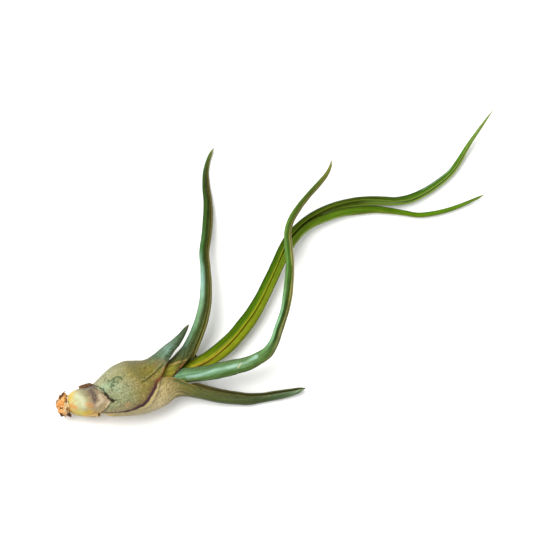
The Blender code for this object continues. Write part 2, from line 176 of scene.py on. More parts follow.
LEAF_LONG = (
    (-65.7, -51.1, 9.80, 1.67, 108, -118),
    (-61.9, -50.0, 10.20, 2.13, 108, -118),
    (-55.1, -48.1, 10.10, 2.51, 108, -118),
    (-48.3, -46.1, 9.70, 2.36, 108, -118),
    (-42.2, -44.1, 8.90, 2.01, 108, -118),
    (-36.9, -42.0, 8.60, 2.17, 108, -118),
    (-31.5, -39.4, 8.00, 2.58, 108, -118),
    (-25.5, -36.3, 7.80, 2.77, 108, -118),
    (-19.9, -31.9, 7.70, 2.74, 108, -118),
    (-16.6, -28.7, 7.80, 2.58, 108, -118),
    (-11.4, -22.3, 8.10, 2.43, 108, -118),
    (-9.1, -19.2, 8.20, 2.36, 108, -118),
    (-5.3, -12.8, 8.40, 2.24, 106, -112),
    (-2.3, -6.7, 8.40, 2.20, 104, -110),
    (0.6, -0.5, 8.30, 2.13, 100, -110),
    (3.3, 5.5, 8.20, 2.13, 95, -112),
    (6.3, 10.4, 8.00, 2.13, 90, -110),
    (9.5, 13.7, 7.80, 2.09, 86, -110),
    (12.3, 16.0, 7.60, 2.05, 82, -106),
    (17.9, 19.3, 7.20, 2.01, 78, -113),
    (23.8, 21.6, 6.80, 1.94, 75, -127),
    (29.5, 23.0, 6.30, 1.86, 76, -156),
    (35.4, 23.7, 5.80, 1.79, 80, -200),
    (41.4, 23.7, 5.30, 1.71, 90, -215),
    (46.0, 23.6, 4.80, 1.63, 100, -215),
    (50.8, 24.4, 4.20, 1.71, 110, -205),
    (56.6, 26.9, 3.60, 1.60, 110, -205),
    (62.7, 30.9, 3.10, 1.43, 110, -205),
    (67.3, 35.0, 3.00, 1.25, 110, -205),
    (70.3, 39.3, 3.30, 1.14, 110, -205),
    (72.4, 42.9, 4.00, 0.95, 110, -205),
    (74.3, 46.0, 4.60, 0.80, 110, -205),
    (78.5, 52.1, 6.20, 0.57, 110, -205),
    (80.6, 55.1, 7.00, 0.40, 110, -205),
    (83.0, 58.4, 7.80, 0.10, 110, -190),
)
LEAF_INNER = (
    (-63.5, -50.5, 10.00, 1.10, 135, -165),
    (-58.9, -49.2, 10.20, 1.18, 135, -165),
    (-53.6, -47.7, 10.00, 1.29, 135, -165),
    (-48.3, -46.2, 9.70, 1.22, 135, -165),
    (-42.2, -44.3, 9.00, 1.06, 135, -165),
    (-36.5, -42.3, 8.60, 1.10, 135, -165),
    (-30.8, -39.8, 8.00, 1.33, 150, -165),
    (-24.5, -37.4, 7.80, 1.60, 170, -158),
    (-18.3, -33.2, 7.70, 1.67, 180, -152),
    (-12.9, -27.6, 7.90, 1.60, 180, -150),
    (-8.1, -21.3, 8.10, 1.52, 180, -150),
    (-4.1, -14.2, 8.40, 1.40, 180, -150),
    (-1.1, -7.9, 8.40, 1.40, 180, -150),
    (1.7, -1.7, 8.30, 1.40, 180, -150),
    (4.4, 3.8, 8.20, 1.42, 180, -150),
    (7.8, 9.4, 7.90, 1.44, 180, -150),
    (13.0, 14.3, 7.30, 1.52, 175, -152),
    (19.4, 17.3, 5.45, 1.70, 165, -155),
    (25.7, 19.2, 4.30, 1.74, 150, -160),
    (32.0, 20.05, 3.75, 1.64, 135, -168),
    (37.6, 20.45, 3.75, 1.50, 130, -170),
    (43.7, 19.9, 3.90, 1.25, 130, -170),
    (49.0, 19.1, 3.80, 1.06, 130, -170),
    (54.3, 18.3, 3.50, 0.99, 130, -170),
    (59.7, 18.8, 3.20, 0.97, 130, -170),
    (65.0, 20.0, 3.00, 0.91, 130, -170),
    (70.3, 21.8, 2.90, 0.82, 130, -170),
    (74.9, 23.8, 3.10, 0.63, 130, -170),
    (77.9, 25.2, 3.40, 0.45, 130, -170),
    (79.6, 26.1, 3.60, 0.10, 130, -170),
)
# How far along its route the old sheath reaches, from one margin round to the other.
TORN_TURNS = (-1.0, -0.78, -0.67, -0.58, -0.45, -0.33, -0.2, 0.0, 0.2, 0.6, 1.0)
TORN_REACH = (0.52, 0.57, 0.78, 0.97, 0.80, 0.66, 0.54, 0.50, 0.52, 0.54, 0.52)
TORN_RAGGED = 0.012     # the tear's own unevenness, as a share of the route

# The stem's stations: centre x, y, z, radius, and how ragged it is.
STEM = (
    (-83.2, -53.0, 7.6, 0.40, 0.0),
    (-82.9, -53.2, 7.6, 1.90, 0.5),
    (-82.0, -53.5, 7.6, 3.30, 0.8),
    (-81.2, -53.7, 7.7, 4.20, 1.0),
    (-80.2, -53.8, 7.7, 4.65, 1.0),
    (-79.6, -53.8, 7.7, 3.60, 0.4),
    (-79.3, -53.7, 7.7, 2.30, 0.0),
    (-77.6, -53.6, 7.8, 2.10, 0.0),
    (-75.0, -53.4, 8.0, 2.02, 0.0),
    (-73.3, -53.1, 8.3, 1.75, 0.0),
    (-70.3, -52.5, 8.9, 1.30, 0.0),
    (-68.0, -51.8, 9.4, 1.05, 0.0),
    (-65.7, -51.1, 9.8, 0.75, 0.0),
    (-64.4, -50.8, 9.95, 0.30, 0.0),
)
# Round the torn end, from its left over its top: how far it stands out, as a share of the radius, and
# how far it is shifted along the route, in millimetres.
TATTERS = (1.02, 0.86, 1.08, 0.92, 0.84, 0.98, 0.94, 1.03, 0.90, 1.04, 0.94, 0.86, 1.08, 0.88)
SPLAY = (0.3, -0.3, 0.2, -0.2, 0.2, -0.1, 0.5, 0.9, 0.2, -0.3, 0.2, -0.2, 0.3, -0.1)
END_Y, END_Z = -53.7, 7.7       # the torn end's middle
TISSUE, PITH, DEAD = 0, 1, 2    # places in the list of fibre materials

# The camera looks straight down from far away, as a long lens does: the picture's side spans this
# many millimetres at the height of the plant's middle.
PICTURE_SPAN = 533 * 0.38
PICTURE_CENTRE = (-3.27, -1.27)
CAMERA_HEIGHT = 3000.0
MIDDLE_HEIGHT = 10.0
SENSOR = 36.0


# Colour and nodes

def linear(code):
    """An sRGB hex value as linear light."""
    values = [int(code[i:i + 2], 16) / 255 for i in (1, 3, 5)]
    return [v / 12.92 if v <= 0.04045 else ((v + 0.055) / 1.055) ** 2.4 for v in values] + [1.0]


def add(tree, kind, inputs=None, output=0, **settings):
    """Adds a shader node and gives one of its outputs.

    An input is a value, a hex colour or another node's output, and stops are a colour ramp's.
    """
    node = tree.nodes.new("ShaderNode" + kind)
    for count, (place, code) in enumerate(settings.pop("stops", ())):
        elements = node.color_ramp.elements
        element = elements[count] if count < 2 else elements.new(place)
        element.position = place
        element.color = linear(code)
    for setting, value in settings.items():
        setattr(node, setting, value)
    for name, value in (inputs or {}).items():
        if isinstance(value, bpy.types.NodeSocket):
            tree.links.new(value, node.inputs[name])
        else:
            node.inputs[name].default_value = linear(value) if isinstance(value, str) else value
    return node.outputs[output]


# Sockets of a colour Mix node, and of a Map Range node, by place.
SHARE, UNDER, OVER, MIXED = 0, 6, 7, 2
VALUE, LOW, HIGH, BOTTOM, TOP = 0, 1, 2, 3, 4
COLOURS = {"data_type": "RGBA"}
SMOOTH = {"interpolation_type": "SMOOTHSTEP"}
THIN_MEAL = [(0.0, "#303030"), (1.0, "#303030")]


def new_material(name):
    """A material, its node tree and the shader of its surface."""
    material = bpy.data.materials.new(name)
    material.use_nodes = True
    return material, material.node_tree, material.node_tree.nodes["Principled BSDF"]


def leaf_tissue(name, left, top, right, inside, rim, rim_width, marks, meal=THIN_MEAL, gloss=0.42,
                shine=0.2, veins=0.14, bands=(0.08, 0.42, 0.58, 0.92)):
    """Leaf tissue, living or dry: firm, waxy and finely veined, under a meal of pale scales.

    Colours run from foot to tip down the leaf's left flank, its top and its right flank, as it lies,
    and down its inside. The bands say where across the leaf one gives way to the next. The rim is the
    coloured margin. The meal is how thickly the scales lie, from black for none to white. The marks
    are scars and stains, and painted light and shade: each has its attribute, its colour, how strongly
    it shows, the size in mm of the breaks in its edge, and how soft that edge is. The gloss is the
    lowest roughness, the shine says how strongly the surface mirrors light, and the veins how far they
    lighten and darken it.
    """
    material, tree, surface = new_material(name)
    along, flank, hidden, margin = [
        add(tree, "Attribute", output="Fac", attribute_name=key)
        for key in ("along", "flank", "hidden", "margin")
    ]
    place = add(tree, "TexCoord", output="Object")
    tissue = add(tree, "UVMap", uv_map="tissue")

    # The flanks' colours wander into each other instead of meeting in a clean line, in patches about
    # 3 mm wide and 14 mm long.
    patches = (TISSUE_SPAN / 3.0, TISSUE_SPAN / 14.0, 1.0)
    stretched = add(tree, "Mapping", {"Vector": tissue, "Scale": patches})
    wander = add(tree, "TexNoise", {"Vector": stretched, "Scale": 1.0, "Detail": 3.0})
    shift = add(tree, "MapRange", {VALUE: wander, LOW: 0.3, HIGH: 0.7, BOTTOM: -0.09, TOP: 0.09})
    moved = add(tree, "Math", {0: flank, 1: shift}, operation="ADD")
    left_colour, top_colour, right_colour, inside_colour = [
        add(tree, "ValToRGB", {0: along}, stops=stops) for stops in (left, top, right, inside)
    ]
    over_left = add(tree, "MapRange", {VALUE: moved, LOW: bands[0], HIGH: bands[1]}, **SMOOTH)
    colour = add(tree, "Mix", {SHARE: over_left, UNDER: left_colour, OVER: top_colour}, MIXED, **COLOURS)
    over_right = add(tree, "MapRange", {VALUE: moved, LOW: bands[2], HIGH: bands[3]}, **SMOOTH)
    colour = add(tree, "Mix", {SHARE: over_right, UNDER: colour, OVER: right_colour}, MIXED, **COLOURS)
    colour = add(tree, "Mix", {SHARE: hidden, UNDER: colour, OVER: inside_colour}, MIXED, **COLOURS)

    # Clouds of lighter and darker tissue, about 2.5 mm across, and veins along the leaf, 0.6 mm apart.
    clouds = add(tree, "TexNoise", {"Vector": place, "Scale": 1 / (2.5 * MM), "Detail": 4.0})
    cloud = add(tree, "MapRange", {VALUE: clouds, LOW: 0.32, HIGH: 0.68, BOTTOM: 0.86, TOP: 1.10})
    threads = (TISSUE_SPAN / 0.6, TISSUE_SPAN / 24.0, 1.0)
    stretched = add(tree, "Mapping", {"Vector": tissue, "Scale": threads})
    ribs = add(tree, "TexNoise", {"Vector": stretched, "Scale": 1.0, "Detail": 2.0})
    rib = add(tree, "MapRange", {VALUE: ribs, LOW: 0.34, HIGH: 0.66, BOTTOM: 1 - veins, TOP: 1 + veins})
    level = add(tree, "Math", {0: cloud, 1: rib}, operation="MULTIPLY")
    # A leaf is painted darker down its sides, as painted shade where they turn away from the light.
    aside = add(tree, "Math", {0: flank, 1: 0.5}, operation="SUBTRACT")
    aside = add(tree, "Math", {0: aside}, operation="ABSOLUTE")
    side = add(tree, "MapRange", {VALUE: aside, LOW: 0.38, HIGH: 0.50, BOTTOM: 1.0, TOP: 0.72}, **SMOOTH)
    level = add(tree, "Math", {0: level, 1: side}, operation="MULTIPLY")
    colour = add(tree, "HueSaturation", {"Value": level, "Color": colour})

    # Scales in fine uneven rows, pale where they lie close and dark between them. They are drawn
    # 0.5 mm across, although the real ones are smaller, so that they show.
    scales = (TISSUE_SPAN / 0.5, TISSUE_SPAN / 0.65, 1.0)
    stretched = add(tree, "Mapping", {"Vector": tissue, "Scale": scales})
    rows = add(tree, "TexNoise", {"Vector": stretched, "Scale": 1.0, "Detail": 3.0, "Roughness": 0.7})
    meal_colour = add(tree, "ValToRGB", {0: along}, stops=meal)
    gaps = add(tree, "MapRange", {VALUE: rows, LOW: 0.51, HIGH: 0.40}, **SMOOTH)
    gaps = add(tree, "Math", {0: gaps, 1: meal_colour}, operation="MULTIPLY")
    shade = add(tree, "HueSaturation", {"Value": 0.48, "Saturation": 1.15, "Color": colour})
    scaly = add(tree, "MapRange", {VALUE: rows, LOW: 0.52, HIGH: 0.68, TOP: 0.45}, **SMOOTH)
    scaly = add(tree, "Math", {0: scaly, 1: meal_colour}, operation="MULTIPLY")
    bloom_and_highlight = add(tree, "Mix", {SHARE: 0.45, UNDER: colour, OVER: "#E6E4D0"}, MIXED, **COLOURS)
    colour = add(tree, "Mix", {SHARE: gaps, UNDER: colour, OVER: shade}, MIXED, **COLOURS)
    colour = add(tree, "Mix", {SHARE: scaly, UNDER: colour, OVER: bloom_and_highlight}, MIXED, **COLOURS)

    # Each mark lies over those before it, and its edge is broken up by noise.
    for mark, code, strength, size, softness in marks:
        drawn = add(tree, "Attribute", output="Fac", attribute_name=mark)
        broken = add(tree, "TexNoise", {"Vector": place, "Scale": 1 / (size * MM), "Detail": 3.0})
        edge = add(tree, "MapRange", {VALUE: broken, LOW: 0.35, HIGH: 0.65, BOTTOM: 0.02, TOP: 0.5})
        kept = add(tree, "Math", {0: drawn, 1: edge}, operation="SUBTRACT", use_clamp=True)
        share = add(tree, "MapRange", {VALUE: kept, LOW: 0.0, HIGH: softness, TOP: strength}, **SMOOTH)
        colour = add(tree, "Mix", {SHARE: share, UNDER: colour, OVER: code}, MIXED, **COLOURS)

    # The margin's colour reaches unevenly far in.
    uneven = add(tree, "TexNoise", {"Vector": place, "Scale": 1 / (1.6 * MM), "Detail": 2.0})
    reach = add(tree, "MapRange", {VALUE: uneven, LOW: 0.3, HIGH: 0.7, BOTTOM: 0.65, TOP: 1.35})
    near = add(tree, "Math", {0: margin, 1: reach}, operation="DIVIDE")
    shown = add(tree, "MapRange", {VALUE: near, LOW: rim_width, HIGH: rim_width * 0.4}, **SMOOTH)
    rim_colour = add(tree, "ValToRGB", {0: along}, stops=rim)
    colour = add(tree, "Mix", {SHARE: shown, UNDER: colour, OVER: rim_colour}, MIXED, **COLOURS)

    # Veins and scales give a relief of a few hundredths of a millimetre, and the gloss is uneven.
    relief = add(tree, "Math", {0: rib, 1: rows}, operation="ADD")
    bump = add(tree, "Bump", {"Height": relief, "Strength": 0.3, "Distance": 0.06 * MM})
    rough = add(tree, "MapRange", {VALUE: clouds, BOTTOM: gloss, TOP: gloss + 0.10})
    tree.links.new(colour, surface.inputs["Base Color"])
    tree.links.new(rough, surface.inputs["Roughness"])
    tree.links.new(bump, surface.inputs["Normal"])
    surface.inputs["IOR"].default_value = 1.45
    surface.inputs["Specular IOR Level"].default_value = shine
    return material


# Shapes

SHAPE_FIELDS = ("outer", "inner", "out", "arc", "length")   # what no material reads of a sheet


def curve_rows(stations, spacing):
    """Stations joined by a cubic curve, read at even steps of about this spacing."""
    rows = np.array(stations, float)
    spans = np.linalg.norm(np.diff(rows[:, :3], axis=0), axis=1)
    knots = np.concatenate([[0.0], np.cumsum(spans)])
    slopes = np.gradient(rows, knots, axis=0)
    result = []
    for distance in np.linspace(0.0, knots[-1], round(knots[-1] / spacing) + 1):
        i = min(int(np.searchsorted(knots, distance, side="right")) - 1, len(rows) - 2)
        span = spans[i]
        t = (distance - knots[i]) / span
        result.append(
            (1 + 2 * t) * (1 - t) ** 2 * rows[i]
            + t * (1 - t) ** 2 * span * slopes[i]
            + t * t * (3 - 2 * t) * rows[i + 1]
            + t * t * (t - 1) * span * slopes[i + 1]
        )
    return np.array(result)


def lengths_along(centres):
    """Each ring's distance from the first."""
    steps = np.linalg.norm(np.diff(centres, axis=0), axis=1)
    return np.concatenate([[0.0], np.cumsum(steps)])


def section_axes(centres, radii):
    """Left and up at each ring, square to the route as it runs over one radius either way."""
    along = lengths_along(centres)
    reach = np.maximum(radii, SHORTEST_REACH)

    def at(distance):
        return np.stack([np.interp(distance, along, centres[:, k]) for k in range(3)], axis=1)

    ahead = at(np.minimum(along + reach, along[-1])) - at(np.maximum(along - reach, 0.0))
    ahead /= np.linalg.norm(ahead, axis=1)[:, None]
    left = np.cross([0.0, 0.0, 1.0], ahead)
    left /= np.linalg.norm(left, axis=1)[:, None]
    return left, np.cross(ahead, left)


def waves(seed, arc, length, size):
    """Slow seeded unevenness over a sheet, between about -1 and 1, with waves of about this size."""
    rng = np.random.default_rng(seed)
    total = np.zeros_like(arc)
    count = 7
    for _ in range(count):
        heading = rng.uniform(0, 2 * np.pi)
        stretch = rng.uniform(0.7, 1.8) * size
        phase = rng.uniform(0, 2 * np.pi)
        total += np.sin(2 * np.pi * (arc * np.cos(heading) + length * np.sin(heading)) / stretch + phase)
    return total / count ** 0.5 / 1.5


def near_line(points, line, width):
    """1 on a line drawn from above, fading to 0 at this distance from it."""
    nearest = np.full(points.shape[:-1], np.inf)
    for start, end in zip(line[:-1], line[1:]):
        start, run = np.array(start), np.array(end) - np.array(start)
        share = np.clip((points - start) @ run / (run @ run), 0.0, 1.0)
        nearest = np.minimum(nearest, np.linalg.norm(points - start - share[..., None] * run, axis=-1))
    rise = np.clip(1 - nearest / width, 0.0, 1.0)
    return rise * rise * (3 - 2 * rise)


def rolled_sheet(stations, spacing, lines, unevenness, wave_size, seed, wall_size=LEAF_WALL):
    """A rolled leaf as a grid of points from foot to tip, on its outer and its inner skin.

    With them come values at each point: how far along the leaf it lies, on which flank, how far from
    the nearer margin, and its place on the sheet laid flat.
    """
    rows = curve_rows(stations, spacing)
    centres, radii = rows[:, :3], np.maximum(rows[:, 3], SMALLEST_RADIUS)
    left, up = section_axes(centres, radii)
    starts, ends = np.radians(rows[:, 4]), np.radians(rows[:, 5])
    length = lengths_along(centres)
    half = radii * np.abs(ends - starts) / 2

    middle_wall = np.interp(length, [0.0, FOOT_LENGTH], [FOOT_WALL, wall_size])
    middle_wall = np.minimum(middle_wall, SOLID_SHARE * radii)
    rounded = np.minimum(middle_wall * MARGIN_SHARE / 2 / half, ROUND_SHARE)[:, None]
    core = np.linspace(-1.0, 1.0, lines)[None, :]
    steps = np.sin(ROUND_TURNS)[None, :]
    thin = np.cos(ROUND_TURNS)
    side = np.concatenate(
        [-(1 - rounded) - rounded * steps[:, ::-1], core * (1 - rounded), (1 - rounded) + rounded * steps],
        axis=1,
    )
    thickness = np.concatenate([thin[::-1], np.ones(lines), thin])[None, :]

    turns = starts[:, None] + (ends - starts)[:, None] * (side + 1) / 2
    wall = middle_wall[:, None] * (1 - (1 - MARGIN_SHARE) * side ** 2)
    out = np.cos(turns)[..., None] * left[:, None] + np.sin(turns)[..., None] * up[:, None]
    arc = side * half[:, None]
    spread = np.broadcast_to(length[:, None], arc.shape)
    fade = np.clip(radii / UNEVEN_RADIUS, 0.0, 1.0)[:, None]
    relief = waves(seed, arc, spread, wave_size) * unevenness * fade
    middle = radii[:, None] - wall / 2 + relief
    outer = centres[:, None] + (middle + wall / 2 * thickness)[..., None] * out
    inner = centres[:, None] + (middle - wall / 2 * thickness)[..., None] * out
    return {
        "outer": outer,
        "inner": inner,
        "out": out,
        "arc": arc,
        "length": spread,
        "along": spread / length[-1],
        "flank": (1 - np.cos(turns)) / 2,
        "margin": half[:, None] - np.abs(arc),
    }


def raise_skins(sheet, height):
    """Both skins moved outwards by a height at each point."""
    lift = height[..., None] * sheet["out"]
    sheet["outer"] += lift
    sheet["inner"] += lift


def press_flat(sheet):
    """The sheet made level where it lies on the surface."""
    sheet["outer"][..., 2] = np.maximum(sheet["outer"][..., 2], REST_LEVEL)
    sheet["inner"][..., 2] = np.maximum(sheet["inner"][..., 2], REST_LEVEL + FOOT_WALL)


def seen_from_above(sheet):
    """1 on the upper side of the rolled leaf and 0 below, with a soft change at its sides."""
    return np.clip(sheet["out"][..., 2] * 4 + 0.5, 0.0, 1.0)


def draw(sheet, mark, *strokes, through=False):
    """A mark's attribute, from strokes that are each a line drawn from above and a width.

    It lies on the leaf's upper side, unless it goes through to the side below.
    """
    seen = sheet["outer"][..., :2]
    sheet[mark] = np.max([near_line(seen, line, width) for line, width in strokes], axis=0)
    if not through:
        sheet[mark] *= seen_from_above(sheet)


def placed(name, bm, materials):
    """The bmesh as an object of the scene."""
    mesh = bpy.data.meshes.new(name)
    bm.to_mesh(mesh)
    bm.free()
    for material in materials:
        mesh.materials.append(material)
    item = bpy.data.objects.new(name, mesh)
    bpy.context.scene.collection.objects.link(item)
    return item


def finished(name, bm, materials, nodes=()):
    """The bmesh as a smooth piece of the plant that stands for these nodes."""
    piece = placed(name, bm, materials)
    piece.data.shade_smooth()
    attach(piece, "root")
    if nodes:
        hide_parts(*nodes)


def face_outwards(bm):
    """The faces of a closed mesh turned to point out of it."""
    bmesh.ops.recalc_face_normals(bm, faces=bm.faces[:])
    if bm.calc_volume(signed=True) < 0:
        bmesh.ops.reverse_faces(bm, faces=bm.faces[:])


def leaf_piece(name, sheet, material):
    """A grid given thickness, with one face on the sheet's outer skin and the other on its inner.

    The values that its material reads become attributes, and so does hidden: 1 on the inner skin.
    """
    outer, inner = sheet["outer"], sheet["inner"]
    rings, lines = outer.shape[:2]
    values = {key: field for key, field in sheet.items() if key not in SHAPE_FIELDS}
    bm = bmesh.new()
    layers = {key: bm.verts.layers.float.new(key) for key in (*values, "hidden")}
    tissue = bm.loops.layers.uv.new("tissue")
    bmesh.ops.create_grid(bm, x_segments=lines - 1, y_segments=rings - 1, size=1.0)
    upper = set(bm.verts)
    bmesh.ops.extrude_face_region(bm, geom=bm.faces[:], use_keep_orig=True)
    spots = {}
    for vert in bm.verts:
        line = round((vert.co.x + 1) / 2 * (lines - 1))
        ring = round((vert.co.y + 1) / 2 * (rings - 1))
        spots[vert] = (ring, line)
        for key, field in values.items():
            vert[layers[key]] = field[ring, line]
        vert[layers["hidden"]] = 0.0 if vert in upper else 1.0
    for vert, spot in spots.items():
        skin = outer if vert in upper else inner
        vert.co = (skin[spot] - ROUTE_ORIGIN) * MM
    for face in bm.faces:
        for loop in face.loops:
            spot = spots[loop.vert]
            loop[tissue].uv = (sheet["arc"][spot] / TISSUE_SPAN, sheet["length"][spot] / TISSUE_SPAN)
    face_outwards(bm)
    finished(name, bm, [material], [name])


# The leaves

def make_leaf_short():
    """The outermost leaf: a broad mealy sheath with a dark margin, and a short blade."""
    sheet = rolled_sheet(LEAF_SHORT, spacing=0.42, lines=112, unevenness=0.12, wave_size=9.0, seed=3)
    # Where the sheath folds over as it narrows to the neck, and the ridge beside that fold.
    fold_depth, ridge_height = 0.42, 0.22
    fold = [(-42.4, -38.4), (-45.2, -41.2), (-47.3, -43.1), (-49.0, -44.3), (-50.6, -45.0)]
    ridge = [(x + 0.5, y - 1.4) for x, y in fold]
    draw(sheet, "fold", (fold, 0.8))
    draw(sheet, "ridge", (ridge, 1.8))
    raise_skins(sheet, sheet["ridge"] * ridge_height - sheet["fold"] * fold_depth)
    # The crease of the fold is painted dark, as painted shade.
    draw(sheet, "fold", (fold, 0.5))
    draw(sheet, "ridge", (ridge[:-1], 1.5))
    # A painted highlight beside the fold, above it and to its left.
    draw(sheet, "painted_fold_highlight", ([(x - 0.5, y + 0.5) for x, y in fold], 0.6))
    # Scratches in the meal near the top of the bulb: a few long ones and many small ones.
    scars = [
        ([(-64.8, -44.5), (-63.8, -43.2)], 0.35),
        ([(-63.5, -44.7), (-63.2, -44.2)], 0.5),
        ([(-62.4, -44.8), (-61.5, -43.8), (-59.7, -43.0), (-58.3, -43.3)], 0.55),
        ([(-62.2, -46.8), (-61.3, -48.4)], 0.4),
        ([(-62.0, -45.7), (-59.8, -44.8)], 0.35),
    ]
    rng = np.random.default_rng(29)
    for _ in range(34):
        place = rng.normal((-60.6, -45.2), (2.0, 1.5))
        heading = rng.normal(0.45, 0.5)
        reach = rng.uniform(0.3, 0.9) * np.array([np.cos(heading), np.sin(heading)])
        scars.append(([tuple(place - reach), tuple(place + reach)], rng.uniform(0.2, 0.32)))
    draw(sheet, "scar", *scars)
    draw(sheet, "bruise", ([(-62.8, -45.4), (-58.4, -44.0)], 2.6))
    dots = [((-49.5, -43.4), 0.55), ((-49.4, -39.7), 0.5), ((-52.4, -48.8), 0.6), ((-56.0, -41.5), 0.35)]
    draw(sheet, "dot", *[([(x, y), (x + 0.1, y)], size) for (x, y), size in dots])
    draw(sheet, "rust", ([(-56.3, -53.6), (-55.3, -53.5)], 1.3))
    # The torn flap of the old sheath shades a strip of the bulb beside it.
    draw(
        sheet, "shaded",
        ([(-69.0, -46.4), (-66.8, -47.0), (-65.2, -48.0)], 0.75),
        ([(-65.6, -47.8), (-64.4, -49.2), (-62.9, -51.0), (-61.4, -52.2)], 1.2),
        ([(-61.4, -52.1), (-58.4, -51.6)], 0.6),
    )
    # The meal's cooler tint on the bulb, and darker blotches of olive and brown towards the neck.
    draw(sheet, "mint", ([(-65.2, -47.4), (-62.6, -46.2), (-60.0, -47.0)], 3.6))
    draw(sheet, "olive", ([(-54.6, -39.0), (-50.4, -43.0)], 5.0))
    draw(sheet, "olive_low", ([(-50.6, -48.6), (-46.2, -45.4)], 3.0))
    draw(sheet, "brown", ([(-45.6, -38.2), (-43.6, -37.2), (-42.2, -37.6)], 2.6))
    # The blade's right half is darker than its top.
    blade_side = [(-41.2, -36.0), (-38.9, -32.9), (-36.3, -29.4), (-33.6, -24.8)]
    draw(sheet, "darker", (blade_side, 2.5), through=True)
    # The margin's dark band is broad on the bulb and thin at the foot and on the blade. On the bulb it
    # runs 1 to 2.4 mm inside the edge, and the bare strip outside it is as pale as the sheath below.
    # A brown flush spreads inwards from the band, and the edge is orange where the bulb ends.
    along, margin = sheet["along"], sheet["margin"]
    broad = np.interp(
        along, [0.15, 0.28, 0.40, 0.55, 0.61, 0.72, 1.0], [0.2, 0.3, 0.6, 0.65, 0.4, 0.25, 0.2]
    )
    inset = np.interp(
        along, [0.22, 0.28, 0.32, 0.37, 0.42, 0.45, 0.49, 0.53, 0.57, 0.61],
        [1.4, 1.1, 0.85, 0.9, 1.7, 2.3, 2.4, 1.9, 1.5, 0.0],
    )
    on_bulb = np.interp(along, [0.30, 0.40, 0.56, 0.64], [0.0, 1.0, 1.0, 0.0])
    sheet["bare"] = np.clip((inset - 0.4 - margin) / 0.5, 0.0, 1.0)
    flush = np.clip(1.15 - (margin - inset) / 3.4, 0.0, 1.0)
    sheet["flush"] = flush * on_bulb * (1.0 - sheet["bare"])
    sheet["lip"] = np.clip(1.6 - margin / 0.16, 0.0, 1.0) * on_bulb * (along > 0.58)
    sheet["margin"] = np.abs(margin - inset) / broad
    press_flat(sheet)
    # Olive under a thick pale meal that makes it look matt and dusty, with a grey-green blade.
    material = leaf_tissue(
        "mealy_outer_sheath_tissue",
        left=[(0.12, "#80744F"), (0.20, "#9F9F76"), (0.32, "#97956B"), (0.44, "#8A8250"), (0.54, "#746824"),
              (0.61, "#6B6429"), (0.70, "#4E6346"), (0.79, "#617A66"), (0.88, "#486344"), (0.96, "#384C2C"),
              (1.0, "#6A4A2E")],
        top=[(0.12, "#8F8660"), (0.20, "#8F966F"), (0.28, "#878B65"), (0.38, "#7E8058"), (0.46, "#7C6F36"),
             (0.54, "#736722"), (0.62, "#6F6523"), (0.70, "#526446"), (0.78, "#5E816C"), (0.86, "#486345"),
             (0.96, "#3A4E2A"), (1.0, "#6A4A2E")],
        right=[(0.12, "#897650"), (0.30, "#857A58"), (0.42, "#7F7048"), (0.52, "#78602A"), (0.60, "#6D5B24"),
               (0.67, "#535330"), (0.76, "#3A4826"), (0.92, "#36441F"), (1.0, "#5C4028")],
        inside=[(0.0, "#A2986F"), (0.6, "#78733A"), (1.0, "#4A5023")],
        rim=[(0.12, "#6E5A3A"), (0.28, "#4A3228"), (0.40, "#372428"), (0.55, "#402626"), (0.61, "#7A4422"),
             (0.66, "#9A5E2C"), (0.76, "#55502A"), (1.0, "#3A3A1C")],
        rim_width=1.45,
        meal=[(0.0, "#E0E0E0"), (0.55, "#E8E8E8"), (0.72, "#A0A0A0"), (0.88, "#505050"), (1.0, "#303030")],
        marks=[("mint", "#92A684", 0.7, 3.0, 1.2), ("ridge", "#8E7C46", 0.6, 1.5, 1.0),
               ("painted_fold_highlight", "#8E8A52", 0.5, 2.0, 0.9), ("olive", "#55542C", 0.6, 1.3, 0.9),
               ("olive_low", "#66602F", 0.5, 1.3, 0.9), ("darker", "#2F3C22", 0.9, 1.0, 0.9),
               ("brown", "#7A5A34", 0.5, 1.2, 1.0), ("bruise", "#56663F", 0.4, 0.8, 1.0),
               ("flush", "#5C3E2C", 0.8, 1.2, 0.9), ("bare", "#AE9E6C", 0.95, 1.5, 0.7),
               ("lip", "#A85C30", 0.7, 2.0, 0.6), ("scar", "#38492A", 0.85, 0.6, 0.6),
               ("fold", "#3C3818", 0.9, 1.5, 0.6), ("dot", "#1E1A0D", 1.0, 3.0, 0.5),
               ("rust", "#A8744A", 0.6, 0.8, 1.0), ("shaded", "#221B0C", 0.95, 2.0, 0.75)],
        gloss=0.44,
    )
    leaf_piece("leaf_short", sheet, material)


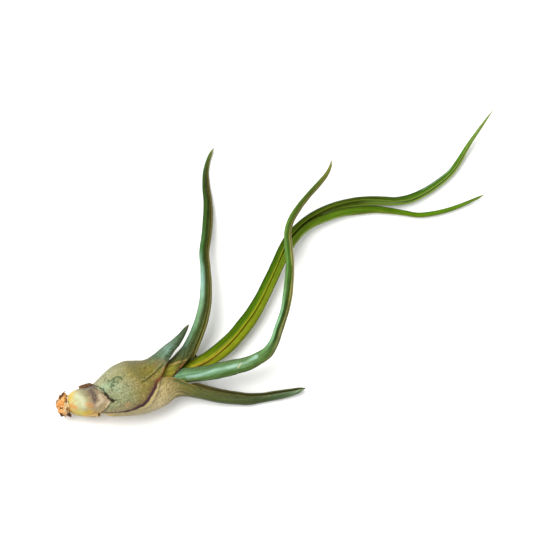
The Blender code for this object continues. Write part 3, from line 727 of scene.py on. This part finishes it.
def make_leaf_low():
    """The second leaf: its sheath closes the bulb's near side, and its blade lies on the surface."""
    sheet = rolled_sheet(LEAF_LOW, spacing=0.45, lines=96, unevenness=0.10, wave_size=8.0, seed=5)
    # Small wrinkles where the sheath draws together into the blade.
    wrinkle_height, wrinkle_spacing = 0.13, 1.5
    neck = np.exp(-((sheet["along"] - 0.42) / 0.05) ** 2)
    wave = np.sin(sheet["arc"] * 2 * np.pi / wrinkle_spacing)
    raise_skins(sheet, wave * neck * wrinkle_height)
    # The sunk side of each wrinkle is painted darker, as painted shade.
    sheet["painted_wrinkle_shade"] = np.clip(-wave, 0.0, 1.0) * neck
    # The tissue is green and brown where it leaves the bulb, with a dry pale edge, and ochre beside the
    # old sheath. A tan line runs down the blade.
    draw(sheet, "green", ([(-37.6, -44.4), (-34.2, -45.4)], 1.9))
    draw(sheet, "neck", ([(-43.0, -45.8), (-41.4, -44.2), (-39.4, -43.6)], 2.2))
    pale_edge = [(-42.4, -42.4), (-39.6, -43.0), (-36.4, -43.6), (-33.8, -45.0), (-30.4, -45.9)]
    draw(sheet, "pale", (pale_edge, 0.75))
    tan_line = [(-31.0, -46.2), (-24.0, -48.4), (-17.0, -50.0), (-9.0, -50.7), (-2.0, -50.1)]
    draw(sheet, "tan_line", (tan_line, 0.6))
    draw(sheet, "ochre", ([(-66.4, -57.4), (-62.0, -56.8)], 2.6), through=True)
    press_flat(sheet)
    # The sheath is khaki under a dusty meal, and the blade dark olive with few scales.
    material = leaf_tissue(
        "khaki_sheath_tissue",
        left=[(0.10, "#A88C44"), (0.28, "#8E7C4C"), (0.34, "#8F7F50"), (0.38, "#766835"), (0.43, "#544F22"),
              (0.50, "#444619"), (0.65, "#3F4315"), (0.80, "#353A13"), (0.92, "#4A5B36"), (1.0, "#7A947C")],
        top=[(0.10, "#B99F4E"), (0.20, "#B0A170"), (0.33, "#BCAA78"), (0.38, "#A08E5C"), (0.44, "#625C2A"),
             (0.50, "#4F5222"), (0.65, "#454D24"), (0.80, "#35421D"), (0.92, "#465C3B"), (1.0, "#79906D")],
        right=[(0.10, "#BBA14C"), (0.20, "#B0A274"), (0.34, "#BAA97C"), (0.40, "#9E8F60"), (0.46, "#5B592B"),
               (0.54, "#44501D"), (0.80, "#343F18"), (0.95, "#42582F"), (1.0, "#667A57")],
        inside=[(0.0, "#B2A77E"), (0.4, "#9A9050"), (0.5, "#8F8A50"), (0.8, "#6E7240"), (1.0, "#536734")],
        rim=[(0.10, "#B18E60"), (0.30, "#9A6E42"), (0.38, "#A8804C"), (0.45, "#B48A4A"), (0.50, "#6A5A2C"),
             (0.60, "#4A4420"), (1.0, "#474B24")],
        rim_width=0.45,
        meal=[(0.0, "#808080"), (0.20, "#C0C0C0"), (0.38, "#F0F0F0"), (0.46, "#909090"), (1.0, "#404040")],
        marks=[("ochre", "#D0A034", 0.95, 2.0, 0.9), ("green", "#47552A", 0.9, 1.2, 0.9),
               ("neck", "#746634", 0.75, 2.0, 1.1), ("painted_wrinkle_shade", "#5E5028", 0.5, 1.5, 0.9),
               ("tan_line", "#8A7A44", 0.8, 3.0, 0.6), ("pale", "#B49C66", 0.85, 1.6, 0.7)],
        veins=0.24,
    )
    leaf_piece("leaf_low", sheet, material)


def make_leaf_upright():
    """The third leaf: an olive sheath in the neck and a long blade rolled nearly shut."""
    sheet = rolled_sheet(LEAF_UPRIGHT, spacing=0.45, lines=50, unevenness=0.10, wave_size=7.0, seed=8)
    # In the neck the sheath has a dry pale crest, a dark root, and purple and orange edges.
    draw(sheet, "crest", ([(-42.4, -38.6), (-39.4, -38.4), (-36.4, -37.6), (-33.6, -36.6)], 0.75))
    draw(sheet, "root", ([(-40.4, -36.4), (-37.0, -34.6), (-34.4, -32.4)], 2.4))
    draw(sheet, "purple", ([(-38.4, -42.8), (-37.2, -41.2), (-36.2, -39.9)], 1.2))
    draw(
        sheet, "orange",
        ([(-42.6, -42.0), (-41.8, -39.6), (-40.6, -38.6)], 0.9),
        ([(-36.0, -39.6), (-34.4, -37.4)], 0.8),
    )
    press_flat(sheet)
    # Smooth and waxy, dark olive on its top, and blue-green down the blade's left side with a painted
    # highlight.
    material = leaf_tissue(
        "blue_green_blade_tissue",
        left=[(0.20, "#8A8432"), (0.27, "#5C5C28"), (0.31, "#454C28"), (0.35, "#4A6450"), (0.42, "#668A66"),
              (0.50, "#789E76"), (0.57, "#8AB2A0"), (0.62, "#7CA88C"), (0.67, "#46703E"), (0.75, "#34501E"),
              (0.88, "#2C4616"), (0.96, "#3E5A28"), (1.0, "#6E7E3E")],
        top=[(0.20, "#8C8830"), (0.27, "#827C28"), (0.305, "#44441A"), (0.34, "#394120"), (0.44, "#38461E"),
             (0.56, "#2E3A12"), (0.64, "#26340A"), (0.80, "#232D0C"), (0.90, "#282C10"), (0.96, "#333B12"),
             (1.0, "#565E2C")],
        right=[(0.20, "#8E7A32"), (0.27, "#7C6E24"), (0.31, "#4E4A1E"), (0.38, "#686A36"), (0.50, "#686A28"),
               (0.60, "#646226"), (0.72, "#56562A"), (0.85, "#464522"), (0.93, "#545630"), (1.0, "#686E38")],
        # The inside is painted much lighter than the tissue, to offset the shade in the narrow slit.
        inside=[(0.0, "#75733E"), (0.3, "#6C6628"), (0.36, "#C8C874"), (0.7, "#B8B468"), (1.0, "#7A803E")],
        rim=[(0.20, "#9A6230"), (0.25, "#7A3E30"), (0.30, "#4C2A27"), (0.33, "#5E5426"), (0.38, "#6C6A34"),
             (0.50, "#625F34"), (0.70, "#5E5A2C"), (0.90, "#565429"), (1.0, "#70783E")],
        rim_width=0.4,
        meal=[(0.0, "#808080"), (0.35, "#808080"), (0.6, "#505050"), (1.0, "#404040")],
        marks=[("crest", "#A48C4C", 0.7, 1.6, 0.9), ("root", "#353817", 0.7, 1.4, 1.0),
               ("purple", "#3E1A1C", 0.9, 1.0, 0.8), ("orange", "#86522A", 0.75, 0.9, 1.0)],
        gloss=0.24,
        shine=0.03,
        veins=0.28,
        bands=(0.16, 0.46, 0.60, 0.80),
    )
    leaf_piece("leaf_upright", sheet, material)


def make_leaf_kinked():
    """The fourth leaf: leaves the neck as a stout glossy blade, then bends sharply and thins."""
    sheet = rolled_sheet(LEAF_KINKED, spacing=0.45, lines=50, unevenness=0.10, wave_size=7.0, seed=12)
    draw(sheet, "graze", ([(-14.2, -39.6), (-13.0, -38.2)], 0.75))
    # A painted highlight streaked down the top of the stout part, fainter at its root.
    streak = [(-33.4, -43.4), (-28.0, -42.4), (-22.8, -40.6), (-16.4, -39.2), (-11.0, -37.6), (-7.2, -35.4)]
    draw(sheet, "bloom_and_highlight", (streak, 1.6))
    sheet["bloom_and_highlight"] *= np.interp(sheet["along"], [0.16, 0.27], [0.35, 1.0])
    press_flat(sheet)
    # Sea green with a painted highlight down its top as far as the bend, then fresh green, and the glossiest
    # of the leaves.
    material = leaf_tissue(
        "sea_green_blade_tissue",
        # Past the bend the left side is painted paler, as a painted highlight.
        left=[(0.20, "#506C45"), (0.30, "#4E683E"), (0.40, "#5A7548"), (0.46, "#5E844C"), (0.51, "#7CA87E"),
              (0.57, "#709E72"), (0.65, "#5A8646"), (0.77, "#587C2E"), (0.84, "#48661C"), (0.92, "#43581A"),
              (1.0, "#6A6C2C")],
        top=[(0.20, "#608360"), (0.30, "#5C7F59"), (0.40, "#5E7E52"), (0.45, "#486630"), (0.51, "#263E0C"),
             (0.58, "#28390A"), (0.65, "#2A4206"), (0.71, "#305008"), (0.80, "#344C06"), (0.90, "#3E4E10"),
             (1.0, "#6A6C2C")],
        right=[(0.20, "#5E7040"), (0.30, "#4A6534"), (0.40, "#465F27"), (0.46, "#566430"), (0.52, "#78784A"),
               (0.60, "#868442"), (0.68, "#928E4C"), (0.80, "#6E6C36"), (0.90, "#626228"), (1.0, "#74743A")],
        inside=[(0.0, "#5E7238"), (0.4, "#50642B"), (0.55, "#A8A468"), (0.75, "#A8A468"), (1.0, "#807E40")],
        rim=[(0.0, "#38583A"), (0.46, "#4C5C2C"), (0.52, "#6A6A3C"), (0.66, "#8A8654"), (0.82, "#6E6A42"),
             (1.0, "#74743A")],
        rim_width=0.45,
        meal=[(0.0, "#A0A0A0"), (0.25, "#808080"), (0.5, "#505050"), (1.0, "#404040")],
        marks=[("bloom_and_highlight", "#A6CABA", 0.55, 8.0, 1.0), ("graze", "#A8A888", 0.7, 0.7, 0.6)],
        gloss=0.22,
        shine=0.05,
        veins=0.26,
        bands=(0.16, 0.38, 0.56, 0.78),
    )
    leaf_piece("leaf_kinked", sheet, material)


def make_leaf_long():
    """The fifth and longest leaf: an open yellow-green channel that closes towards its end."""
    sheet = rolled_sheet(LEAF_LONG, spacing=0.5, lines=60, unevenness=0.08, wave_size=8.0, seed=17)
    # Fine pale lines of painted highlight along both edges where it turns up towards its tip.
    along, flank = sheet["along"], sheet["flank"]
    far = np.interp(along, [0.76, 0.80, 0.85, 0.89], [0.0, 1.0, 1.0, 0.0])
    near = np.interp(along, [0.68, 0.73, 0.84, 0.90], [0.0, 1.0, 1.0, 0.0])
    sheet["far_painted_highlight"] = np.exp(-((flank - 0.13) / 0.06) ** 2) * far
    sheet["near_painted_highlight"] = np.exp(-((flank - 0.84) / 0.07) ** 2) * near
    press_flat(sheet)
    # Fresh green and smooth, with few scales, and yellow inside the channel, painted lighter there to offset
    # the shade in it.
    material = leaf_tissue(
        "fresh_green_blade_tissue",
        left=[(0.18, "#4A5808"), (0.25, "#334E06"), (0.35, "#2C4A04"), (0.45, "#2A4206"), (0.52, "#30420C"),
              (0.62, "#2F3E0C"), (0.70, "#2C3E0E"), (0.75, "#25420A"), (0.82, "#2F5412"), (0.90, "#3E6618"),
              (1.0, "#5E7A30")],
        top=[(0.18, "#5E660A"), (0.25, "#455E00"), (0.35, "#3A5A00"), (0.45, "#345000"), (0.55, "#3A4A04"),
             (0.65, "#334004"), (0.72, "#354A0A"), (0.80, "#30500B"), (0.88, "#3E650D"), (0.94, "#54781C"),
             (1.0, "#66803A")],
        right=[(0.18, "#88821A"), (0.30, "#7C8816"), (0.40, "#748612"), (0.50, "#5E720F"), (0.58, "#3E4E0C"),
               (0.66, "#46580F"), (0.72, "#586E20"), (0.85, "#597520"), (0.93, "#6A7C24"), (1.0, "#74843E")],
        inside=[(0.15, "#C09434"), (0.28, "#CAB82A"), (0.40, "#C0C426"), (0.50, "#8C9822"),
                (0.58, "#46560F"), (0.655, "#3E4E10"), (0.70, "#78943C"), (0.80, "#A6C676"),
                (0.90, "#9CB45C"), (1.0, "#74843E")],
        rim=[(0.15, "#B4682C"), (0.24, "#A87030"), (0.32, "#98901E"), (0.46, "#828A1A"), (0.52, "#4C5A10"),
             (0.66, "#4E5E18"), (0.76, "#6E8430"), (0.85, "#7A9040"), (1.0, "#7C8C48")],
        rim_width=0.5,
        marks=[("far_painted_highlight", "#A8C8A0", 0.55, 4.0, 0.8), ("near_painted_highlight", "#B4CCA0", 0.55, 4.0, 0.8)],
        gloss=0.40,
        shine=0.03,
        veins=0.32,
        bands=(0.02, 0.16, 0.32, 0.60),
    )
    leaf_piece("leaf_long", sheet, material)


def make_leaf_inner():
    """The youngest leaf, which lies in the longest one's channel."""
    sheet = rolled_sheet(LEAF_INNER, spacing=0.5, lines=56, unevenness=0.06, wave_size=8.0, seed=23)
    # A fine pale line of painted highlight near one edge, where it has left the channel.
    shown = np.interp(sheet["along"], [0.50, 0.58, 0.70, 0.76], [0.0, 1.0, 1.0, 0.0])
    sheet["near_painted_highlight"] = np.exp(-((sheet["flank"] - 0.88) / 0.08) ** 2) * shown
    press_flat(sheet)
    # Young tissue, bright green and smooth, with few scales and a faint rim.
    material = leaf_tissue(
        "young_blade_tissue",
        left=[(0.20, "#8A8C16"), (0.45, "#6A7A12"), (0.58, "#52641A"), (0.70, "#465C12"), (0.80, "#46620E"),
              (0.90, "#426404"), (1.0, "#667A30")],
        top=[(0.20, "#7E8414"), (0.40, "#6A7812"), (0.55, "#4E6612"), (0.70, "#466210"), (0.85, "#486806"),
             (0.95, "#4C7210"), (1.0, "#667A30")],
        right=[(0.20, "#7A8216"), (0.45, "#626F1A"), (0.62, "#5C6C1C"), (0.75, "#5A6C1E"), (0.85, "#4E6608"),
               (1.0, "#667A30")],
        inside=[(0.0, "#71831A"), (1.0, "#435914")],
        rim=[(0.0, "#807A1A"), (0.5, "#7A7C28"), (1.0, "#74843C")],
        rim_width=0.3,
        marks=[("near_painted_highlight", "#9CB476", 0.5, 4.0, 0.8)],
        gloss=0.32,
        shine=0.02,
        veins=0.30,
    )
    leaf_piece("leaf_inner", sheet, material)


def make_old_sheath():
    """The dry sheath of a lost leaf round the bulb's foot, torn off short."""
    sheet = rolled_sheet(
        OLD_SHEATH, spacing=0.12, lines=100, unevenness=0.10, wave_size=5.0, seed=31, wall_size=SHEATH_WALL
    )
    rings, lines = sheet["arc"].shape
    rng = np.random.default_rng(4)
    spots = np.linspace(-1.0, 1.0, lines)
    tears = 60
    ragged = np.interp(spots, np.linspace(-1, 1, tears), rng.uniform(-1, 1, tears)) * TORN_RAGGED
    shares = np.minimum(np.interp(spots, TORN_TURNS, TORN_REACH) + ragged, 1.0)
    # Every line from the foot is drawn in to where the sheath is torn.
    for key, field in sheet.items():
        whole = np.atleast_3d(field)
        torn = np.empty_like(whole)
        for line, share in enumerate(shares):
            places = np.linspace(0.0, share * (rings - 1), rings)
            for k in range(whole.shape[2]):
                torn[:, line, k] = np.interp(places, np.arange(rings), whole[:, line, k])
        sheet[key] = torn.reshape(field.shape)
    # The flap's torn edge is pale, and a dark line of painted shadow lies under its curled edge. The rest
    # is stained and bleached in patches, apart from a band of painted highlight and a lower edge painted
    # lighter.
    draw(sheet, "torn", ([(-65.4, -53.0), (-62.0, -52.6)], 3.4), through=True)
    sheet["torn"] *= np.clip((np.linspace(0.0, 1.0, rings)[:, None] - 0.90) / 0.06, 0.0, 1.0)
    # The yellow lower edge is painted lighter than its own colour, to offset the shade it lies in.
    draw(sheet, "lightened_low_edge", ([(-72.4, -57.9), (-69.4, -58.2), (-66.6, -57.4)], 1.5), through=True)
    draw(
        sheet, "orange",
        ([(-77.4, -54.0), (-75.4, -55.0)], 2.0),
        ([(-71.0, -53.6), (-69.8, -54.2)], 2.1),
    )
    draw(
        sheet, "smudge",
        ([(-69.6, -48.6), (-68.8, -50.0), (-68.2, -52.0)], 2.4),
        ([(-72.0, -46.8), (-69.4, -46.6), (-67.0, -47.4)], 1.6),
    )
    # A pale band across the middle is a painted highlight.
    draw(sheet, "pale", ([(-75.6, -50.0), (-73.2, -51.6), (-72.6, -54.4)], 3.2))
    draw(sheet, "pink", ([(-68.6, -53.2), (-66.0, -51.0), (-64.0, -52.4)], 3.0))
    draw(sheet, "bleached", ([(-66.6, -50.2), (-65.4, -52.2), (-67.6, -53.8)], 1.6))
    # A dark line of painted shadow under the flap's curled edge.
    curl_shadow_line = [(-67.6, -47.2), (-65.6, -48.1), (-64.3, -49.5), (-63.1, -51.0), (-61.9, -52.1)]
    draw(sheet, "painted_curl_shadow", (curl_shadow_line, 1.15))
    draw(sheet, "grey", ([(-72.4, -55.6), (-66.6, -55.4)], 1.2), through=True)
    draw(sheet, "yellow", ([(-76.6, -48.6), (-78.0, -50.6), (-78.4, -51.8)], 2.0))
    draw(sheet, "cream", ([(-79.0, -51.4), (-79.1, -55.0)], 0.8))
    # Dead and dry as parchment: yellow at the foot, grey and brown where it frays, with a dull sheen.
    material = leaf_tissue(
        "dry_parchment_sheath",
        left=[(0.0, "#C4A450"), (0.14, "#B6A256"), (0.26, "#98906A"), (0.40, "#6E6448"), (0.60, "#6E5E44"),
              (1.0, "#8E7C60")],
        top=[(0.0, "#D0BC7C"), (0.10, "#BEB070"), (0.22, "#ACAC82"), (0.38, "#9A986E"), (0.54, "#8A785A"),
             (0.75, "#8E7C5C"), (1.0, "#94835F")],
        right=[(0.0, "#C8923A"), (0.14, "#BCA444"), (0.26, "#BAAC48"), (0.40, "#B99634"), (0.52, "#A88034"),
               (0.75, "#A18D5F"), (1.0, "#A18D5F")],
        inside=[(0.0, "#8E7A50"), (0.45, "#9A8658"), (1.0, "#7E6C4A")],
        rim=[(0.0, "#9E8A5E"), (1.0, "#9E8A5E")],
        rim_width=0.3,
        meal=[(0.0, "#303030"), (0.3, "#505050"), (0.5, "#A0A0A0"), (1.0, "#C0C0C0")],
        marks=[("pale", "#C2C4A2", 0.85, 2.5, 1.2), ("grey", "#8E8668", 0.6, 1.2, 0.9),
               ("yellow", "#CDAE48", 0.8, 2.0, 1.0), ("cream", "#E0D0A6", 0.9, 1.0, 0.8),
               ("pink", "#96806A", 0.8, 1.2, 1.1), ("bleached", "#BCAE90", 0.7, 0.7, 0.9),
               ("orange", "#CA8440", 0.8, 1.2, 1.1), ("smudge", "#443430", 0.9, 0.8, 0.9),
               ("torn", "#B8A684", 0.8, 0.6, 0.6), ("lightened_low_edge", "#CC9C30", 0.85, 2.0, 0.8),
               ("painted_curl_shadow", "#261D0E", 0.95, 1.4, 0.6)],
        gloss=0.34,
        shine=0.3,
    )
    leaf_piece("old_sheath", sheet, material)


# The stem

def torn_fibre(name, main, other, dark):
    """Torn plant fibre: matt, streaked along its length, darker where it has dried."""
    material, tree, surface = new_material(name)
    place = add(tree, "TexCoord", output="Object")
    # Streaks 1.6 mm long and 0.4 mm thick, and dried patches 1.8 mm across.
    fibres = (1 / (1.6 * MM), 1 / (0.4 * MM), 1 / (0.4 * MM))
    stretched = add(tree, "Mapping", {"Vector": place, "Scale": fibres})
    streak = add(tree, "TexNoise", {"Vector": stretched, "Scale": 1.0, "Detail": 4.0})
    patch = add(tree, "TexNoise", {"Vector": place, "Scale": 1 / (1.8 * MM), "Detail": 2.0})
    paler = add(tree, "MapRange", {VALUE: streak, LOW: 0.38, HIGH: 0.62}, **SMOOTH)
    colour = add(tree, "Mix", {SHARE: paler, UNDER: main, OVER: other}, MIXED, **COLOURS)
    dried = add(tree, "MapRange", {VALUE: patch, LOW: 0.55, HIGH: 0.70}, **SMOOTH)
    colour = add(tree, "Mix", {SHARE: dried, UNDER: colour, OVER: dark}, MIXED, **COLOURS)
    bump = add(tree, "Bump", {"Height": streak, "Strength": 0.8, "Distance": 0.15 * MM})
    tree.links.new(colour, surface.inputs["Base Color"])
    tree.links.new(bump, surface.inputs["Normal"])
    surface.inputs["Roughness"].default_value = 0.62
    surface.inputs["Specular IOR Level"].default_value = 0.25
    return material


def add_strip(bm, path, width, twist, rng, material_index=0):
    """A torn strip of fibre along a short path, narrowing to a ragged point."""
    steps = 7
    points = np.array(path, float)
    knots = np.linspace(0.0, 1.0, len(points))
    grid = bmesh.ops.create_grid(bm, x_segments=2, y_segments=steps, size=1.0)
    ahead = points[-1] - points[0]
    across = np.cross(ahead, [np.sin(twist), 0.0, np.cos(twist)])
    across /= np.linalg.norm(across) + 1e-9
    # Every point is up to 0.12 mm out of place at the strip's root, and more towards its end.
    jitter = rng.uniform(-0.12, 0.12, (steps + 2, 3, 3))
    for vert in grid["verts"]:
        share = (vert.co.y + 1) / 2
        line = round(vert.co.x + 1)
        spot = np.array([np.interp(share, knots, points[:, k]) for k in range(3)])
        breadth = width / 2 * (1 - 0.75 * share ** 2)
        spot = spot + across * (line - 1) * breadth + jitter[round(share * steps), line] * (0.4 + share)
        vert.co = (spot - ROUTE_ORIGIN) * MM
    for face in {face for vert in grid["verts"] for face in vert.link_faces}:
        face.material_index = material_index


def finish_strips(name, bm, thickness, materials):
    """Strips of fibre given their thickness, as a piece that stands for no node."""
    bmesh.ops.solidify(bm, geom=bm.faces[:], thickness=thickness * MM)
    bmesh.ops.recalc_face_normals(bm, faces=bm.faces[:])
    finished(name, bm, materials)


def make_stem(materials):
    """The stem with its torn end, whose side is ragged and ridged."""
    rows = np.array(STEM, float)
    knots = np.arange(len(rows))
    # Rings lie close together over the torn end, as far as station 6, and wider apart on the taper.
    places = np.concatenate([np.linspace(0, 6, 31), np.linspace(7, len(rows) - 1, 15)])
    rows = np.stack([np.interp(places, knots, rows[:, k]) for k in range(5)], axis=1)
    left, up = section_axes(rows[:, :3], rows[:, 3])
    sides = 56
    turns = np.linspace(0.0, 2 * np.pi, sides, endpoint=False)
    coarse = np.linspace(0.0, 2 * np.pi, len(TATTERS) + 1)
    factor = np.interp(turns, coarse, (*TATTERS, TATTERS[0]))
    splay = np.interp(turns, coarse, (*SPLAY, SPLAY[0]))
    rng = np.random.default_rng(11)
    ridge_count = 28
    heights = np.resize(rng.uniform(-1, 1, ridge_count), ridge_count + 1)
    ridges = np.interp(
        np.linspace(0, ridge_count, sides, endpoint=False), np.arange(ridge_count + 1), heights
    )
    ragged = rows[:, 4][:, None]
    radius = rows[:, 3][:, None] * (1 + ragged * (factor - 1)[None, :] + 0.05 * ragged * ridges[None, :])
    out = np.cos(turns)[None, :, None] * left[:, None] + np.sin(turns)[None, :, None] * up[:, None]
    rings = rows[:, None, :3] + radius[..., None] * out
    rings[..., 0] += ragged * splay[None, :] + 0.18 * ragged * ridges[None, ::-1]

    bm = bmesh.new()
    count = len(rows)
    bmesh.ops.create_uvsphere(bm, u_segments=sides, v_segments=count - 1, radius=1.0)
    for vert in bm.verts:
        ring = round(np.arccos(np.clip(vert.co.z, -1.0, 1.0)) / np.pi * (count - 1))
        if ring in (0, count - 1):
            spot = rings[ring].mean(axis=0)
        else:
            turn = np.arctan2(vert.co.y, vert.co.x) % (2 * np.pi)
            spot = rings[ring, round(turn / (2 * np.pi) * sides) % sides]
        vert.co = (spot - ROUTE_ORIGIN) * MM
    face_outwards(bm)
    finished("stem", bm, [materials[TISSUE]], ["stem"])


def make_tatters(materials):
    """Strips of old fibre that stand out from the torn end."""
    bm = bmesh.new()
    rng = np.random.default_rng(19)
    named = [
        # The spike at the end's far side, and the small dark knob at its tip.
        ([(-82.0, -51.6, 10.9), (-80.9, -50.0, 10.6), (-79.8, -48.6, 10.0)], 1.0, 0.2, DEAD),
        ([(-82.2, -52.4, 8.4), (-83.0, -52.6, 8.8), (-83.3, -53.2, 8.6)], 1.3, 0.9, DEAD),
        # Loose ends along the near side.
        ([(-81.8, -56.6, 8.0), (-81.2, -57.6, 7.6), (-80.8, -58.2, 7.2)], 1.0, 0.2, DEAD),
        ([(-80.6, -56.8, 8.6), (-79.9, -57.8, 8.2), (-79.6, -58.5, 7.6)], 1.3, 0.1, PITH),
        ([(-79.4, -56.4, 8.8), (-78.3, -57.6, 8.6), (-77.5, -58.4, 8.0)], 1.5, 0.3, DEAD),
        ([(-78.6, -55.8, 9.2), (-77.4, -56.4, 8.6), (-76.3, -56.2, 8.0)], 1.2, 0.6, DEAD),
    ]
    for path, width, twist, fibre in named:
        add_strip(bm, path, width, twist, rng, fibre)
    wrap, hug = 4.3, 4.1    # how far the pale and the dark shreds lie from the end's middle
    for _ in range(14):
        # Pale shreds wrapped round the end where it joins the sheath.
        turns = np.radians(rng.uniform(-60, 10) + np.array([-16.0, 0.0, 16.0]) * rng.uniform(0.7, 1.3))
        x = rng.uniform(-80.4, -78.4)
        path = [
            (x + rng.uniform(-0.2, 0.2), END_Y + wrap * np.sin(turn), END_Z + wrap * np.cos(turn))
            for turn in turns
        ]
        add_strip(bm, path, rng.uniform(0.4, 0.9), 1.4, rng, PITH)
    for _ in range(8):
        # Dark shreds along the near side.
        turn = np.radians(rng.uniform(-85, -50))
        x = rng.uniform(-81.6, -77.4)
        start = (x, END_Y + hug * np.sin(turn), END_Z + hug * np.cos(turn))
        end = (x + rng.uniform(-0.2, 1.0), start[1] - rng.uniform(0.1, 0.5), start[2] - 0.9)
        add_strip(bm, [start, end], rng.uniform(0.5, 1.0), 0.4, rng, DEAD)
    for _ in range(34):
        # Strips of the stem's own tissue all round, which bow out from it.
        turn = rng.uniform(0, 2 * np.pi)
        start = rng.uniform(-82.6, -79.8)
        reach = rng.uniform(1.4, 3.0)
        bow = rng.uniform(0.1, 0.6)
        path = []
        for share in (0.0, 0.5, 1.0):
            # The end is a wedge, which stands out least at its far side.
            radius = 3.7 + bow * share + 0.3 * np.sin(3 * turn) - 0.6 * max(np.cos(turn), 0.0)
            x = start + reach * share * rng.uniform(0.7, 1.0)
            path.append((x, END_Y + radius * np.cos(turn), END_Z + radius * np.sin(turn)))
        width = rng.uniform(0.5, 1.2)
        add_strip(bm, path, width, turn, rng, int(rng.choice([TISSUE, TISSUE, TISSUE, DEAD])))
    finish_strips("stem_tatters", bm, 0.12, materials)


def make_dry_scrap(materials):
    """Scraps of dead leaf base, beside the old sheath and down in the neck between the leaves."""
    bm = bmesh.new()
    rng = np.random.default_rng(2)
    add_strip(bm, [(-74.4, -47.7, 9.6), (-72.2, -46.6, 10.2), (-69.8, -45.8, 10.8)], 1.9, 0.3, rng)
    add_strip(bm, [(-73.2, -47.3, 10.4), (-71.0, -46.4, 11.2), (-69.2, -46.2, 11.4)], 1.4, 0.6, rng)
    add_strip(bm, [(-71.8, -46.7, 11.0), (-70.2, -46.1, 11.6), (-68.2, -46.2, 11.8)], 1.1, 0.2, rng)
    add_strip(bm, [(-35.6, -38.4, 6.0), (-32.6, -36.6, 6.4), (-29.8, -35.2, 6.8)], 3.0, 0.2, rng)
    finish_strips("dry_scrap", bm, 0.2, [materials[DEAD]])


# The stage

def make_floor():
    """A sheet of plain white paper, matt and without a highlight."""
    bm = bmesh.new()
    bmesh.ops.create_grid(bm, x_segments=1, y_segments=1, size=4.0)
    material, _, surface = new_material("plain_white_paper")
    surface.inputs["Base Color"].default_value = linear("#F4F4F2")
    surface.inputs["Roughness"].default_value = 0.9
    surface.inputs["Specular IOR Level"].default_value = 0.0
    placed("floor", bm, [material])


def add_softbox(name, place, size, power):
    """A square studio light that faces the plant."""
    light = bpy.data.lights.new(name, "AREA")
    light.size = size
    light.energy = power
    lamp = bpy.data.objects.new(name, light)
    lamp.location = place
    lamp.rotation_euler = (-Vector(place)).to_track_quat("-Z", "Y").to_euler()
    bpy.context.scene.collection.objects.link(lamp)


def light_the_stage():
    """Soft light all round, a large key light from the far left and a weaker fill from the near right."""
    world = bpy.data.worlds.new("studio")
    world.use_nodes = True
    background = world.node_tree.nodes["Background"]
    background.inputs["Color"].default_value = linear("#FFFFFF")
    background.inputs["Strength"].default_value = 0.38
    bpy.context.scene.world = world
    add_softbox("key_softbox", place=(-0.32, 0.26, 0.95), size=0.60, power=14.5)
    add_softbox("fill_softbox", place=(0.60, -0.40, 0.80), size=0.80, power=4.0)
    bpy.context.scene.view_settings.view_transform = "Standard"


def make_camera():
    """The camera over the picture's centre, with a lens that frames the picture's span."""
    data = bpy.data.cameras.new("camera")
    data.sensor_width = SENSOR
    data.lens = SENSOR * (CAMERA_HEIGHT - MIDDLE_HEIGHT) / PICTURE_SPAN
    data.clip_end = 100.0
    camera = bpy.data.objects.new("camera", data)
    camera.location = (np.array([*PICTURE_CENTRE, CAMERA_HEIGHT]) - ROUTE_ORIGIN) * MM
    bpy.context.scene.collection.objects.link(camera)
    bpy.context.scene.camera = camera


make_camera()
make_leaf_short()
make_leaf_low()
make_leaf_upright()
make_leaf_kinked()
make_leaf_long()
make_leaf_inner()
make_old_sheath()
fibre_materials = [
    torn_fibre("torn_stem_tissue", "#C47A34", "#DCAC6C", "#86501E"),
    torn_fibre("bare_pith", "#E6D4A8", "#DCB87C", "#B8844A"),
    torn_fibre("dead_fibre", "#4A3018", "#6E4C2C", "#2C1C0E"),
]
make_stem(fibre_materials)
make_tatters(fibre_materials)
make_dry_scrap(fibre_materials)
make_floor()
light_the_stage()
